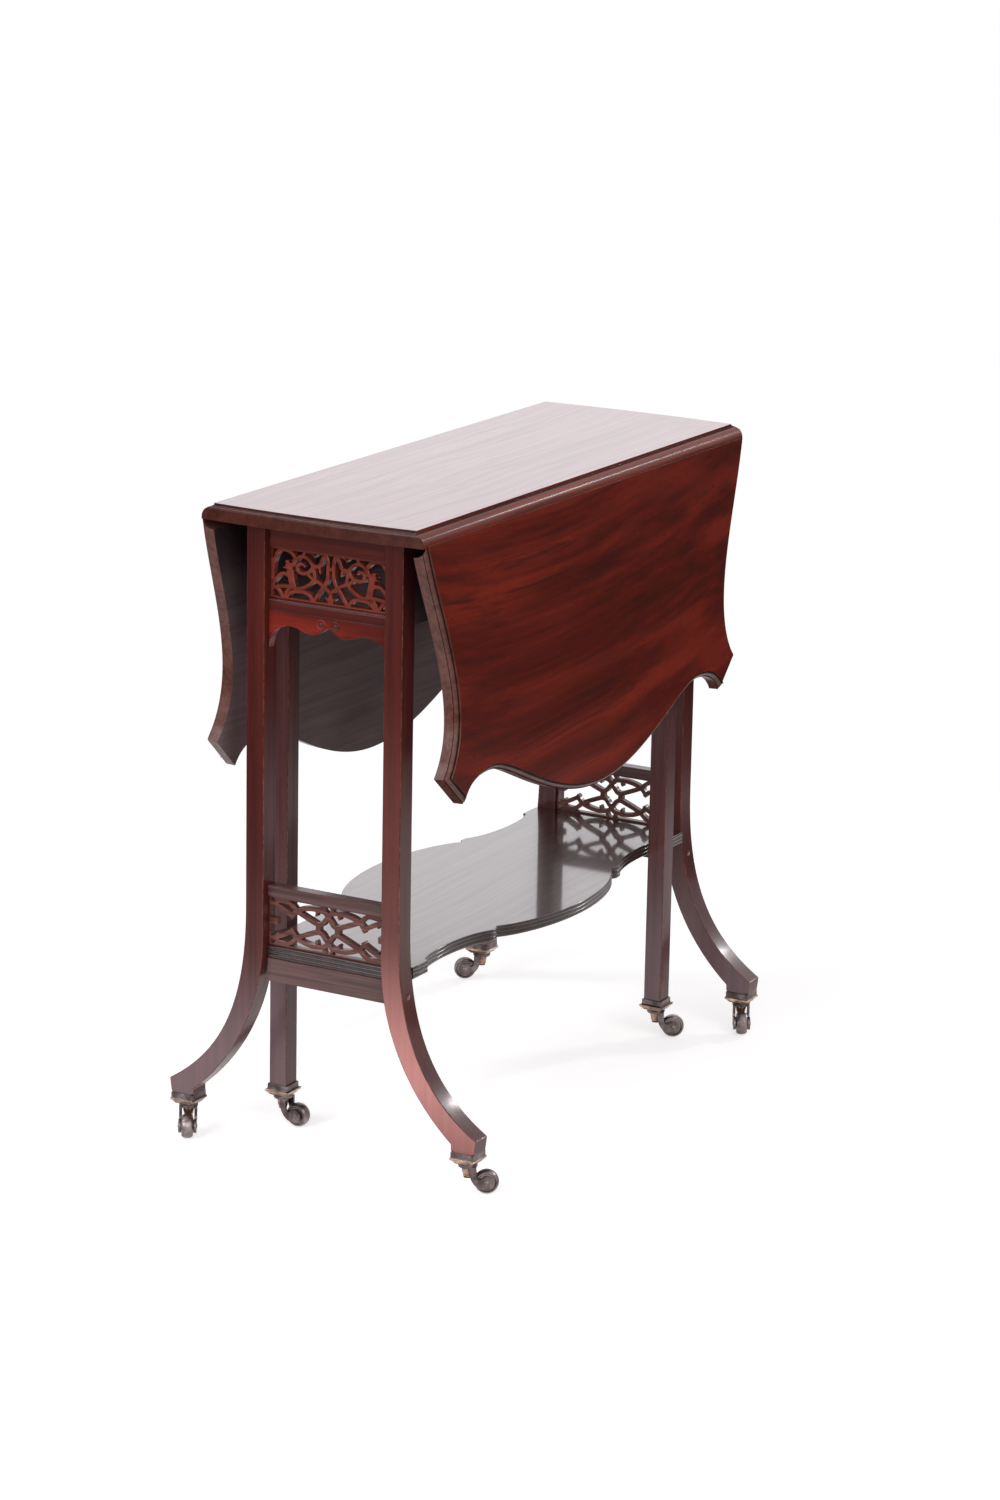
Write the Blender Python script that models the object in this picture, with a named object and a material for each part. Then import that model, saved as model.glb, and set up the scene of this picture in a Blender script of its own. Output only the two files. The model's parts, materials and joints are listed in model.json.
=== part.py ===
# A Sutherland table: a narrow fixed top, two hanging leaves on rule joints, two swing legs
# on wooden knuckles, pierced friezes and galleries at both ends, a shaped undershelf and six castors.
# X runs along the table, the front leaf hangs at -Y, Z is up and the floor is at Z = 0.
import math

import bmesh
import bpy
from mathutils import Vector

# Clearances, in metres
SEAT_GAP = 0.0003            # between pieces that are glued, screwed or seated
RUN_GAP = 0.0005             # between pieces that turn on each other
BORE_GAP = 0.0001            # round a pin in its bore
SWING_ROOM = 0.004           # under the top, over a swing leg
CUT_OVER = 0.004             # how far a cutter runs past the face that it cuts
JOINT_TRIM = 0.016           # spare width that the rule-joint cutters take off a board

# Top and leaves
TOP_HEIGHT = 0.705
BOARD = 0.017
TOP_LENGTH = 0.714           # along the hinge line
END_BOW = 0.005              # the ends swell by this at the middle
HINGE_SPACING = 0.242        # between the two hinge lines
EDGE_OVOLO = 0.005           # quarter round on the free edges
EDGE_FILLET = 0.0015         # small step above it
EDGE_SHOULDER = 0.001        # flat shelf between the two
JOINT_FILLET = 0.003         # step at the top of the rule joint
PIN_LIFT = 0.002             # hinge pin above the underside
LEAF_DEPTH = 0.3245          # hinge line to the lowest point of the leaf
LEAF_CORNER_HALF = 0.328     # flared corner, from the middle of the leaf
LEAF_CORNER_DROP = 0.247     # the same corner, from the hinge line
LEAF_CANT_HALF = 0.290       # other end of the canted corner
LEAF_CANT_DROP = 0.281
LEAF_PEAK_HALF = 0.235       # top of the hollow in the bottom edge
LEAF_PEAK_DROP = 0.2572
LEAF_SIDE_PULL = (0.022, 0.085)    # handles of the curved side: in from the hinge corner,
LEAF_SIDE_PUSH = (0.060, 0.062)    # and back from the flared corner
LEAF_HOLLOW_PULL = (0.010, 0.0185)  # handle of the hollow at the cant
LEAF_HOLLOW_PUSH = 0.023     # flat stretches of the bottom edge: before the peak,
LEAF_PEAK_PULL = 0.045       # after it,
LEAF_BELLY_PUSH = 0.108      # and beside the lowest point
LEAF_LEAN = math.radians(3)  # the hanging leaf stands off the vertical by this

# Hinges of the rule joints
HINGE_INSET = 0.157          # middle of a hinge, in from the ends of the hinge lines
HINGE_LENGTH = 0.060
HINGE_PLATE = 0.0015
HINGE_PLATE_REACH = 0.031
HINGE_STRAP_LENGTH = 0.028
HINGE_STRAP_REACH = 0.041
KNUCKLE_RADIUS = 0.0026
KNUCKLE_SINK = 0.0006        # how far a plate runs into its knuckle
HINGE_PIN_RADIUS = 0.0014

# End frames
LEG_WIDTH = 0.0218           # across the table
LEG_DEPTH = 0.024            # along the table
LEG_OUTER_Y = 0.0942
LEG_INSET = 0.027            # outside of the legs, in from the ends of the hinge lines
SPLAY_TOP = 0.270            # where the outside of the leg starts to sweep out
SPLAY_PULL = 0.095           # handles of that sweep: down from its start,
SPLAY_PUSH = (0.0625, 0.043)  # and in and up from the toe
SPLAY_INNER_TOP = 0.240
SPLAY_INNER_PULL = 0.075
SPLAY_INNER_PUSH = (0.063, 0.046)
FOOT_CENTRE_Y = 0.1742
FOOT_WIDTH = 0.0285
TOE_HEIGHT = 0.062
TOE_LEAN = 0.002             # the toe's front leans out by this
HEEL_HEIGHT = 0.054
RAIL_SETBACK = 0.008         # end rails behind the faces of the legs
RAIL_THICK = 0.014
FRET_SETBACK = 0.012
FRET_THICK = 0.007
FRIEZE_RAIL = 0.0277         # heights, from the top down
FRIEZE_FRET = 0.0543
FRIEZE_LOWER = 0.0127
BEAD_RADIUS = 0.0016
APRON_THICK = 0.011
APRON_TIP = 0.040            # depths of the apron: at the legs,
APRON_ARCH = 0.014           # over its hollows,
APRON_SWELL = 0.0195         # at the swell beside the middle
APRON_NOTCH = 0.011          # and at the middle
APRON_SPRING = 0.0016        # where a bracket meets its hollow, below the hollow's top
APRON_BRACKET = 0.0185       # how far a bracket reaches in from its leg
APRON_SWELL_Y = 0.019        # places across the end: the swell,
APRON_ARCH_Y = 0.047         # and the top of the hollow
GALLERY_RAIL_TOP = 0.2955
GALLERY_RAIL = 0.012
FRIEZE_STRAP = 0.0036        # width of the frieze's straps
LEAF_STEM = 0.0072           # its leafy stem
PENDANT = 0.0042             # and the pendant in the middle
PENDANT_BULB = 0.0072
GALLERY_STRAP = 0.0042       # width of the gallery's straps
KNOT = 0.0082                # its two knots beside the middle,
CLUB = 0.0072                # the clubs at its ends
SIDE_TAB = 0.0072            # and its tabs
FRET_MARGIN = 0.0018         # plain border of a fret panel
FRET_DRAWN_HALF = 72.1       # the layouts are drawn on a panel of this half width
FRET_DRAWN_HEIGHT = 54.0     # and height, in millimetres, and fitted to the real one
LOWER_RAIL = 0.0257

# Undershelf
SHELF_TOP = 0.229
SHELF_THICK = 0.013
SHELF_INSET = 0.008          # its ends, in from the outside of the legs
SHELF_SHOULDER = 0.0975      # half width beside the legs
SHELF_BULGE = 0.1315         # half width at the middle
SHELF_SHOULDER_INSET = 0.055  # outer cusp, in from the outside of the legs
SHELF_CUSP = (0.0035, 0.005)  # step at the outer cusp
SHELF_HOLLOW_PULL = (0.020, 0.009)   # handles of the hollow
SHELF_HOLLOW_PUSH = (0.032, 0.0195)
SHELF_TIP_X = 0.136          # inner cusp
SHELF_TIP_RISE = 0.004       # its tip beyond the shoulder
SHELF_TIP_LEAD = (0.010, 0.0005)     # where the hollow ends, before the tip
SHELF_NICK = (0.006, 0.0035)  # the nick after it
SHELF_BULGE_PULL = (0.025, 0.019)
SHELF_BULGE_PUSH = 0.055
REEDS = 3
REED_DEPTH = 0.0011
REED_SHOULDER = 0.28         # share of a reed's pitch that curves, at each side

# Side rails and swing legs
SIDE_RAIL_THICK = 0.016
SIDE_RAIL_OUTER_Y = 0.0915
SIDE_RAIL_BOTTOM = 0.594
GATE_LEG = 0.0215
GATE_INSET = 0.090           # middle of a closed swing leg, in from the outside of the legs
GATE_PIVOT_X = 0.030
GATE_REST_GAP = 0.0008       # between a closed swing leg and the side rail
GATE_RAIL_THICK = 0.016
GATE_RAIL_BOTTOM = 0.598
KNUCKLE_FINGERS = 5
KNUCKLE_SIDES = 12           # flats round a knuckle's clearance
KNUCKLE_BLOCK = 0.070
GATE_PIN_RADIUS = 0.003

# Castors
CUP_BOTTOM = 0.0335
CUP_RIM = 0.0146             # half the side of the square rim
CUP_RIM_HEIGHT = 0.0385
CUP_RIM_THICK = 0.0013
CUP_TOP = 0.0465
CUP_FLOOR = 0.0412
CUP_WALL = 0.0012
CUP_NECK = 0.0108            # half the side of the moulding's foot
CUP_STEP = 0.0016            # height of its small steps
PINTLE_RADIUS = 0.003
PINTLE_HEAD_RADIUS = 0.0044
PINTLE_HEAD = 0.0018
BOSS_RADIUS = 0.0058
BOSS_BOTTOM = 0.0188
CAP_RADIUS = 0.0104          # round plate over the boss
CAP_THICK = 0.0042
WHEEL_RADIUS = 0.013
WHEEL_WIDTH = 0.0125
WHEEL_CHAMFER = 0.0016
WHEEL_SIDES = 20             # a multiple of four stands on a flat
CASTOR_TRAIL = 0.020
CHEEK_THICK = 0.003
CHEEK_EYE = 0.0072           # radius of a cheek round the axle
CHEEK_BELLY = (0.0075, 0.0085)     # handle of the cheek's back edge, from the swivel axis and the floor
AXLE_RADIUS = 0.0022

# Sizes that follow from the ones above
UNDERSIDE = TOP_HEIGHT - BOARD
HINGE_Y = HINGE_SPACING / 2
HINGE_OFFSET = TOP_LENGTH / 2 - HINGE_INSET
JOINT_RADIUS = BOARD - JOINT_FILLET - PIN_LIFT
PIN_Z = UNDERSIDE + PIN_LIFT
FRAME_TOP = UNDERSIDE - SEAT_GAP
LEG_INNER_Y = LEG_OUTER_Y - LEG_WIDTH
LEG_OUTER_X = TOP_LENGTH / 2 - LEG_INSET
LEG_INNER_X = LEG_OUTER_X - LEG_DEPTH
LEG_MIDDLE_X = LEG_OUTER_X - LEG_DEPTH / 2
END_SPAN = LEG_INNER_Y - SEAT_GAP
GATE_TOP = UNDERSIDE - SWING_ROOM
GATE_RADIUS = LEG_OUTER_X - GATE_INSET + GATE_PIVOT_X   # pivot to the middle of the swing leg
GATE_INNER_Y = SIDE_RAIL_OUTER_Y + GATE_REST_GAP
GATE_PIVOT_Y = GATE_INNER_Y + GATE_RAIL_THICK / 2
GATE_LEG_SHIFT = (GATE_LEG - GATE_RAIL_THICK) / 2
SMOOTH_ANGLE = math.radians(35)
FLAT_ANGLE = math.radians(22)  # bends in a fret's edges that are left out
FRET_STEPS = 2               # straight pieces between two drawn points of a strap


def finish(name, colour, roughness, metallic):
    material = bpy.data.materials.new(name)
    material.use_nodes = True
    shader = material.node_tree.nodes["Principled BSDF"]
    shader.inputs["Base Color"].default_value = (*colour, 1.0)
    shader.inputs["Roughness"].default_value = roughness
    shader.inputs["Metallic"].default_value = metallic
    material.diffuse_color = (*colour, 1.0)
    return material


def empty(name, location, rotation=(0, 0, 0), parent=None):
    marker = bpy.data.objects.new(name, None)
    marker.location = location
    marker.rotation_euler = rotation
    marker.parent = parent
    bpy.context.scene.collection.objects.link(marker)
    return marker


def place(name, mesh, material, parent=None, location=(0, 0, 0), rotation=(0, 0, 0)):
    piece = bpy.data.objects.new(name, mesh)
    piece.location = location
    piece.rotation_euler = rotation
    piece.parent = parent
    if not mesh.materials:
        mesh.materials.append(material)
        mesh.shade_smooth()
        mesh.set_sharp_from_angle(angle=SMOOTH_ANGLE)
    bpy.context.scene.collection.objects.link(piece)
    return piece


def to_mesh(bm, name):
    bmesh.ops.recalc_face_normals(bm, faces=bm.faces)
    mesh = bpy.data.meshes.new(name)
    bm.to_mesh(mesh)
    bm.free()
    return mesh


def combined(name, base, tools, operation, overlapping=False):
    """The mesh of base after a Boolean with each tool mesh in turn."""
    body = bpy.data.objects.new(name, base)
    bpy.context.scene.collection.objects.link(body)
    helpers = []
    for tool in tools:
        helper = bpy.data.objects.new(name + "_tool", tool)
        bpy.context.scene.collection.objects.link(helper)
        cut = body.modifiers.new(operation.lower(), "BOOLEAN")
        cut.operation = operation
        cut.solver = "EXACT"
        cut.use_self = overlapping
        cut.object = helper
        helpers.append(helper)
    view = bpy.context.evaluated_depsgraph_get()
    mesh = bpy.data.meshes.new_from_object(body.evaluated_get(view))
    mesh.name = name
    mesh.materials.clear()
    for helper in helpers + [body]:
        bpy.data.objects.remove(helper)
    return mesh


def bezier(start, pull, push, end, steps):
    """Points along a cubic curve, without its first point."""
    points = []
    for step in range(1, steps + 1):
        t = step / steps
        s = 1 - t
        weights = (s ** 3, 3 * s * s * t, 3 * s * t * t, t ** 3)
        knots = (start, pull, push, end)
        points.append(tuple(sum(w * k[i] for w, k in zip(weights, knots)) for i in (0, 1)))
    return points


def arc(centre, radius, first, last, steps):
    """Points on a circle from one angle to another, in degrees."""
    points = []
    for step in range(steps + 1):
        angle = math.radians(first + (last - first) * step / steps)
        points.append((centre[0] + radius * math.cos(angle), centre[1] + radius * math.sin(angle)))
    return points


def in_space(axis, across, up, along):
    if axis == "X":
        return (along, across, up)
    if axis == "Y":
        return (across, along, up)
    return (across, up, along)


def add_prism(bm, outline, axis, low, high):
    near = [bm.verts.new(in_space(axis, u, v, low)) for u, v in outline]
    far = [bm.verts.new(in_space(axis, u, v, high)) for u, v in outline]
    bm.faces.new(near)
    bm.faces.new(far)
    for i in range(len(outline)):
        bm.faces.new((near[i - 1], near[i], far[i], far[i - 1]))


def prism(name, outline, axis, low, high):
    bm = bmesh.new()
    add_prism(bm, outline, axis, low, high)
    return to_mesh(bm, name)


def box(name, low, high):
    outline = [(low[0], low[1]), (high[0], low[1]), (high[0], high[1]), (low[0], high[1])]
    return prism(name, outline, "Z", low[2], high[2])


def rod(name, radius, axis, low, high, sides=12, centre=(0, 0)):
    ring = arc(centre, radius, 0, 360, sides)[:-1]
    return prism(name, ring, axis, low, high)


def bore_radius(pin_radius, sides):
    """Radius at the corners of a flat-sided bore that clears a round pin."""
    return (pin_radius + BORE_GAP) / math.cos(math.pi / sides)


def offset_outline(outline, inset):
    """An anticlockwise outline moved inwards, with mitred corners."""
    moved = []
    count = len(outline)
    for i in range(count):
        here = Vector(outline[i])
        into = (here - Vector(outline[i - 1])).normalized()
        away = (Vector(outline[(i + 1) % count]) - here).normalized()
        left_in = Vector((-into.y, into.x))
        left_away = Vector((-away.y, away.x))
        moved.append(here + inset * (left_in + left_away) / (1 + left_in.dot(left_away)))
    return moved


def moulded_board(name, outline, levels):
    """A flat board whose edge follows (height, inset) levels from the underside up."""
    bm = bmesh.new()
    rings = []
    for height, inset in levels:
        rings.append([bm.verts.new((p.x, p.y, height)) for p in offset_outline(outline, inset)])
    bm.faces.new(rings[0])
    bm.faces.new(rings[-1])
    for lower, upper in zip(rings, rings[1:]):
        for i in range(len(lower)):
            bm.faces.new((lower[i - 1], lower[i], upper[i], upper[i - 1]))
    return to_mesh(bm, name)


def turned(name, profile, steps, axis):
    """A closed profile of (radius, along) points spun round an axis through the origin."""
    bm = bmesh.new()
    rings = []
    for step in range(steps):
        angle = 2 * math.pi * (step + 0.5) / steps
        ring = []
        for radius, along in profile:
            across = radius * math.cos(angle)
            ring.append(bm.verts.new(in_space(axis, across, radius * math.sin(angle), along)))
        rings.append(ring)
    for i in range(steps):
        for k in range(len(profile)):
            bm.faces.new((rings[i - 1][k - 1], rings[i][k - 1], rings[i][k], rings[i - 1][k]))
    return to_mesh(bm, name)


def smooth_line(points, steps):
    """A Catmull-Rom curve through hand-set points."""
    path = []
    last = len(points) - 1
    for i in range(last):
        a = Vector(points[max(i - 1, 0)])
        b = Vector(points[i])
        c = Vector(points[i + 1])
        d = Vector(points[min(i + 2, last)])
        for step in range(steps):
            t = step / steps
            path.append(0.5 * (2 * b + (c - a) * t + (2 * a - 5 * b + 4 * c - d) * t * t
                               + (3 * b - a - 3 * c + d) * t ** 3))
    path.append(Vector(points[last]))
    return path


def strap_outline(points, width, steps):
    """Both sides of a strap that follows a smooth line."""
    path = smooth_line(points, steps)
    left = []
    right = []
    for i, here in enumerate(path):
        along = (path[min(i + 1, len(path) - 1)] - path[max(i - 1, 0)]).normalized()
        side = Vector((-along.y, along.x)) * width / 2
        left.append(here + side)
        right.append(here - side)
    return [tuple(p) for p in left + right[::-1]]


# The top and the leaves

def edge_levels(base):
    """The moulded free edge: a square band, a quarter round, a shoulder and a fillet."""
    band = BOARD - EDGE_OVOLO - EDGE_FILLET
    levels = [(base, 0.0)]
    steps = 3
    for step in range(steps + 1):
        turn = math.pi / 2 * step / steps
        levels.append((base + band + EDGE_OVOLO * math.sin(turn), EDGE_OVOLO * (1 - math.cos(turn))))
    levels.append((base + band + EDGE_OVOLO, EDGE_OVOLO + EDGE_SHOULDER))
    levels.append((base + BOARD, EDGE_OVOLO + EDGE_SHOULDER))
    return levels


def hinge_places():
    return (("left", -HINGE_OFFSET), ("right", HINGE_OFFSET))


def top_outline():
    """A long rectangle with bowed ends, wide enough for the joint cutters to trim."""
    reach = HINGE_Y + JOINT_RADIUS + JOINT_TRIM
    steps = 12
    right_end = []
    for step in range(steps + 1):
        y = reach * (2 * step / steps - 1)
        right_end.append((TOP_LENGTH / 2 + END_BOW * (1 - (y / HINGE_Y) ** 2), y))
    return right_end + [(-x, -y) for x, y in right_end]


def top_board():
    board = moulded_board("top_board", top_outline(), edge_levels(UNDERSIDE))
    far = HINGE_Y + JOINT_RADIUS + JOINT_TRIM + CUT_OVER
    half = TOP_LENGTH / 2 + END_BOW + CUT_OVER
    tools = []
    for side in (-1, 1):
        profile = [(HINGE_Y, TOP_HEIGHT + CUT_OVER)]
        profile += arc((HINGE_Y, PIN_Z), JOINT_RADIUS, 90, 0, 8)
        profile += [(HINGE_Y + JOINT_RADIUS, UNDERSIDE - CUT_OVER), (far, UNDERSIDE - CUT_OVER),
                    (far, TOP_HEIGHT + CUT_OVER)]
        tools.append(prism("joint_cutter", [(side * y, z) for y, z in profile], "X", -half, half))
    for side in (-1, 1):
        for label, x in hinge_places():
            tools.append(hinge_housing(side, x))
    return combined("top_board", board, tools, "DIFFERENCE")


def hinge_housing(side, x):
    """Groove for the knuckles and recesses for both plates, in the underside of the top."""
    groove = KNUCKLE_RADIUS + RUN_GAP
    plate_top = UNDERSIDE + HINGE_PLATE + SEAT_GAP
    half = HINGE_LENGTH / 2 + SEAT_GAP
    strap_half = HINGE_STRAP_LENGTH / 2 + SEAT_GAP
    below = UNDERSIDE - CUT_OVER
    inner = HINGE_Y - HINGE_PLATE_REACH - SEAT_GAP
    outer = HINGE_Y + JOINT_RADIUS + CUT_OVER
    near, far = HINGE_Y - groove, HINGE_Y + groove
    roof = PIN_Z + groove
    outline = [(inner, below), (inner, plate_top), (near, plate_top), (near, roof), (far, roof), (far, below)]
    plate_cut = prism("plate_cut", [(side * y, z) for y, z in outline], "X", x - half, x + half)
    start = min(side * HINGE_Y, side * outer)
    stop = max(side * HINGE_Y, side * outer)
    strap_cut = box("strap_cut", (x - strap_half, start, below), (x + strap_half, stop, plate_top))
    return combined("hinge_housing", plate_cut, [strap_cut], "UNION")


def leaf_outline():
    """The leaf raised, seen from above: hinge line at y = 0, free edge at y = LEAF_DEPTH."""
    half = TOP_LENGTH / 2
    corner = (LEAF_CORNER_HALF, LEAF_CORNER_DROP)
    cant = (LEAF_CANT_HALF, LEAF_CANT_DROP)
    peak = (LEAF_PEAK_HALF, LEAF_PEAK_DROP)
    low = (0.0, LEAF_DEPTH)
    right = [(half, -JOINT_TRIM), (half, 0.0)]
    right += bezier((half, 0.0), (half - LEAF_SIDE_PULL[0], LEAF_SIDE_PULL[1]),
                    (corner[0] - LEAF_SIDE_PUSH[0], corner[1] - LEAF_SIDE_PUSH[1]), corner, 10)
    right.append(cant)
    right += bezier(cant, (cant[0] - LEAF_HOLLOW_PULL[0], cant[1] - LEAF_HOLLOW_PULL[1]),
                    (peak[0] + LEAF_HOLLOW_PUSH, peak[1]), peak, 5)
    right += bezier(peak, (peak[0] - LEAF_PEAK_PULL, peak[1]), (LEAF_BELLY_PUSH, LEAF_DEPTH), low, 9)
    left = [(-x, y) for x, y in right[-2::-1]]
    return right + left


def leaf_mesh():
    """The leaf about its hinge pin, with the cove of the rule joint along its hinge edge."""
    board = moulded_board("leaf", leaf_outline(), edge_levels(-PIN_LIFT))
    cove = JOINT_RADIUS + RUN_GAP
    half = TOP_LENGTH / 2 + CUT_OVER
    above = JOINT_RADIUS + JOINT_FILLET + CUT_OVER
    start = math.degrees(math.acos(RUN_GAP / cove))
    spare = -JOINT_TRIM - CUT_OVER
    profile = [(spare, -PIN_LIFT - CUT_OVER), (spare, above), (RUN_GAP, above)]
    profile += arc((0, 0), cove, start, 0, 8)
    profile += [(cove, -PIN_LIFT - CUT_OVER)]
    tools = [prism("cove_cutter", profile, "X", -half, half)]
    for label, x in hinge_places():
        strap_half = HINGE_STRAP_LENGTH / 2 + SEAT_GAP
        tools.append(box("strap_recess", (x - strap_half, JOINT_RADIUS - CUT_OVER / 4, -PIN_LIFT - CUT_OVER),
                         (x + strap_half, HINGE_STRAP_REACH + SEAT_GAP, -PIN_LIFT + HINGE_PLATE + SEAT_GAP)))
    return combined("leaf", board, tools, "DIFFERENCE")


def hinge_plate_mesh():
    """Fixed half of a hinge about its pin: a plate with a knuckle at each end."""
    barrel_half = HINGE_STRAP_LENGTH / 2 + RUN_GAP
    half = HINGE_LENGTH / 2
    rise = -PIN_LIFT + HINGE_PLATE
    plate = box("plate", (-half, -HINGE_PLATE_REACH, -PIN_LIFT), (half, KNUCKLE_SINK - KNUCKLE_RADIUS, rise))
    sides = 8
    bore = bore_radius(HINGE_PIN_RADIUS, sides)
    slot = box("slot", (-barrel_half, -KNUCKLE_RADIUS - RUN_GAP, -KNUCKLE_RADIUS),
               (barrel_half, 0.0, KNUCKLE_RADIUS))
    plate = combined("plate", plate, [slot], "DIFFERENCE")
    knuckles = []
    for low, high in ((-half, -barrel_half), (barrel_half, half)):
        ring = [(KNUCKLE_RADIUS, low), (KNUCKLE_RADIUS, high), (bore, high), (bore, low)]
        knuckles.append(turned("knuckle", ring, sides, "X"))
    return combined("hinge_plate", plate, knuckles, "UNION")


def hinge_strap_mesh():
    """Moving half of a hinge: a longer plate with the middle knuckle and the pin fixed in it."""
    half = HINGE_STRAP_LENGTH / 2
    rise = -PIN_LIFT + HINGE_PLATE
    start = KNUCKLE_RADIUS - 2 * KNUCKLE_SINK
    plate = box("strap", (-half, start, -PIN_LIFT), (half, HINGE_STRAP_REACH, rise))
    barrel = rod("barrel", KNUCKLE_RADIUS, "X", -half, half, 8)
    pin = rod("pin", HINGE_PIN_RADIUS, "X", -HINGE_LENGTH / 2, HINGE_LENGTH / 2, 8)
    return combined("hinge_strap", plate, [barrel, pin], "UNION")


# The end frames

def leg_outline():
    """A splayed leg seen along the table: straight above, swept out to a square toe below."""
    toe = FOOT_CENTRE_Y + FOOT_WIDTH / 2
    heel = FOOT_CENTRE_Y - FOOT_WIDTH / 2
    tenon = LEG_DEPTH / 2
    seat = CUP_TOP + SEAT_GAP
    floor = CUP_FLOOR + SEAT_GAP
    toe_top = (toe + TOE_LEAN, TOE_HEIGHT)
    points = [(LEG_INNER_Y, FRAME_TOP), (LEG_OUTER_Y, FRAME_TOP), (LEG_OUTER_Y, SPLAY_TOP)]
    points += bezier((LEG_OUTER_Y, SPLAY_TOP), (LEG_OUTER_Y, SPLAY_TOP - SPLAY_PULL),
                     (toe_top[0] - SPLAY_PUSH[0], TOE_HEIGHT + SPLAY_PUSH[1]), toe_top, 12)
    points += [(toe, seat), (FOOT_CENTRE_Y + tenon, seat), (FOOT_CENTRE_Y + tenon, floor),
               (FOOT_CENTRE_Y - tenon, floor), (FOOT_CENTRE_Y - tenon, seat), (heel, seat),
               (heel, HEEL_HEIGHT)]
    points += bezier((heel, HEEL_HEIGHT), (heel - SPLAY_INNER_PUSH[0], HEEL_HEIGHT + SPLAY_INNER_PUSH[1]),
                     (LEG_INNER_Y, SPLAY_INNER_TOP - SPLAY_INNER_PULL), (LEG_INNER_Y, SPLAY_INNER_TOP), 12)
    return points


def leg_mesh(side):
    return prism("leg", [(side * y, z) for y, z in leg_outline()], "X", LEG_INNER_X, LEG_OUTER_X)


def end_rail(name, low, high):
    face = LEG_OUTER_X - RAIL_SETBACK
    return box(name, (face - RAIL_THICK, -END_SPAN, low), (face, END_SPAN, high))


def beaded_rail(low, high):
    """The frieze's lower rail, with a bead along the top of its face."""
    face = LEG_OUTER_X - RAIL_SETBACK
    outline = [(face - RAIL_THICK, low), (face, low), (face, high - 2 * BEAD_RADIUS)]
    outline += arc((face, high - BEAD_RADIUS), BEAD_RADIUS, -90, 90, 6)[1:]
    outline += [(face - RAIL_THICK, high)]
    return prism("beaded_rail", outline, "Y", -END_SPAN, END_SPAN)


def apron_outline(top):
    """Half of the apron's lower edge, from the leg to the middle: bracket, hollow, swell and notch."""
    tip = (END_SPAN, top - APRON_TIP)
    spring = (END_SPAN - APRON_BRACKET, top - APRON_ARCH - APRON_SPRING)
    hollow = (APRON_ARCH_Y, top - APRON_ARCH)
    swell = (APRON_SWELL_Y, top - APRON_SWELL)
    half_bracket = APRON_BRACKET / 2
    half = [tip]
    half += bezier(tip, (tip[0] - half_bracket, tip[1] + half_bracket),
                   (spring[0] + half_bracket / 2, spring[1] - half_bracket), spring, 6)
    half += bezier(spring, (spring[0] - APRON_SPRING, hollow[1]), (hollow[0] + APRON_SPRING, hollow[1]),
                   hollow, 2)
    reach = (hollow[0] - swell[0]) / 2
    half += bezier(hollow, (hollow[0] - reach, hollow[1]), (swell[0] + reach, swell[1]), swell, 6)
    half += bezier(swell, (swell[0] / 2, swell[1]), (swell[0] / 3, top - APRON_NOTCH - APRON_SPRING),
                   (0.0, top - APRON_NOTCH), 5)
    return half


def apron_mesh(top):
    half = apron_outline(top)
    outline = [(END_SPAN, top)] + half + [(-y, z) for y, z in half[-2::-1]] + [(-END_SPAN, top)]
    face = LEG_OUTER_X - RAIL_SETBACK
    return prism("apron", outline, "X", face - APRON_THICK, face)


def frieze_layout():
    """Scroll fret of the frieze: straps of one half, from the middle line out, as drawn in millimetres."""
    return [
        (FRIEZE_STRAP, [(70, 20), (69, 38), (62, 51), (51, 51.5), (43.5, 45), (45.5, 37)]),
        (LEAF_STEM, [(49.5, 39), (49.5, 32), (48, 24), (47, 18), (45.5, 13.5)]),
        (FRIEZE_STRAP, [(44, 37.5), (50, 37)]),
        (FRIEZE_STRAP, [(45.5, 37), (40, 44.5), (34, 47.5), (27, 45), (21, 39.5), (14, 39.6), (10, 47),
                        (6.2, 53.5)]),
        (FRIEZE_STRAP, [(21, 39.5), (25, 33), (32, 29.5), (39, 31), (40.5, 36.5), (36, 40), (32, 37)]),
        (FRIEZE_STRAP, [(6.2, 53.5), (3.6, 45), (3.4, 38), (3.8, 28), (7.5, 19)]),
        (FRIEZE_STRAP, [(20.5, 39), (20.5, 34), (19, 25.5)]),
        (FRIEZE_STRAP, [(29, 31), (23, 26), (15, 22.5), (9, 19.5), (3, 15), (0, 13)]),
        (FRIEZE_STRAP, [(19, 25.5), (24, 20), (32, 14.8), (40, 12.3), (47, 13.5), (53, 8), (56, 0.5)]),
        (FRIEZE_STRAP, [(54, 2), (47, 8), (40, 9.7), (31, 9.8), (25, 6.5), (21, 0.5)]),
        (FRIEZE_STRAP, [(21, 0.5), (15, 9.5), (8.5, 19)]),
        (FRIEZE_STRAP, [(71.5, 12), (66, 20), (60, 26), (54, 26.5), (47, 23)]),
        (FRIEZE_STRAP, [(71.5, 10), (62, 12.5), (53, 13.5), (46, 13.5)]),
        (FRIEZE_STRAP, [(66, 13), (61, 6), (55, 0.5)]),
        (FRIEZE_STRAP, [(70, 20), (71.5, 14)]),
        (FRIEZE_STRAP, [(14, 39.6), (13.2, 35), (12.6, 32)]),
        (FRIEZE_STRAP, [(-4.5, 38), (4.5, 38)]),
    ]


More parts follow.
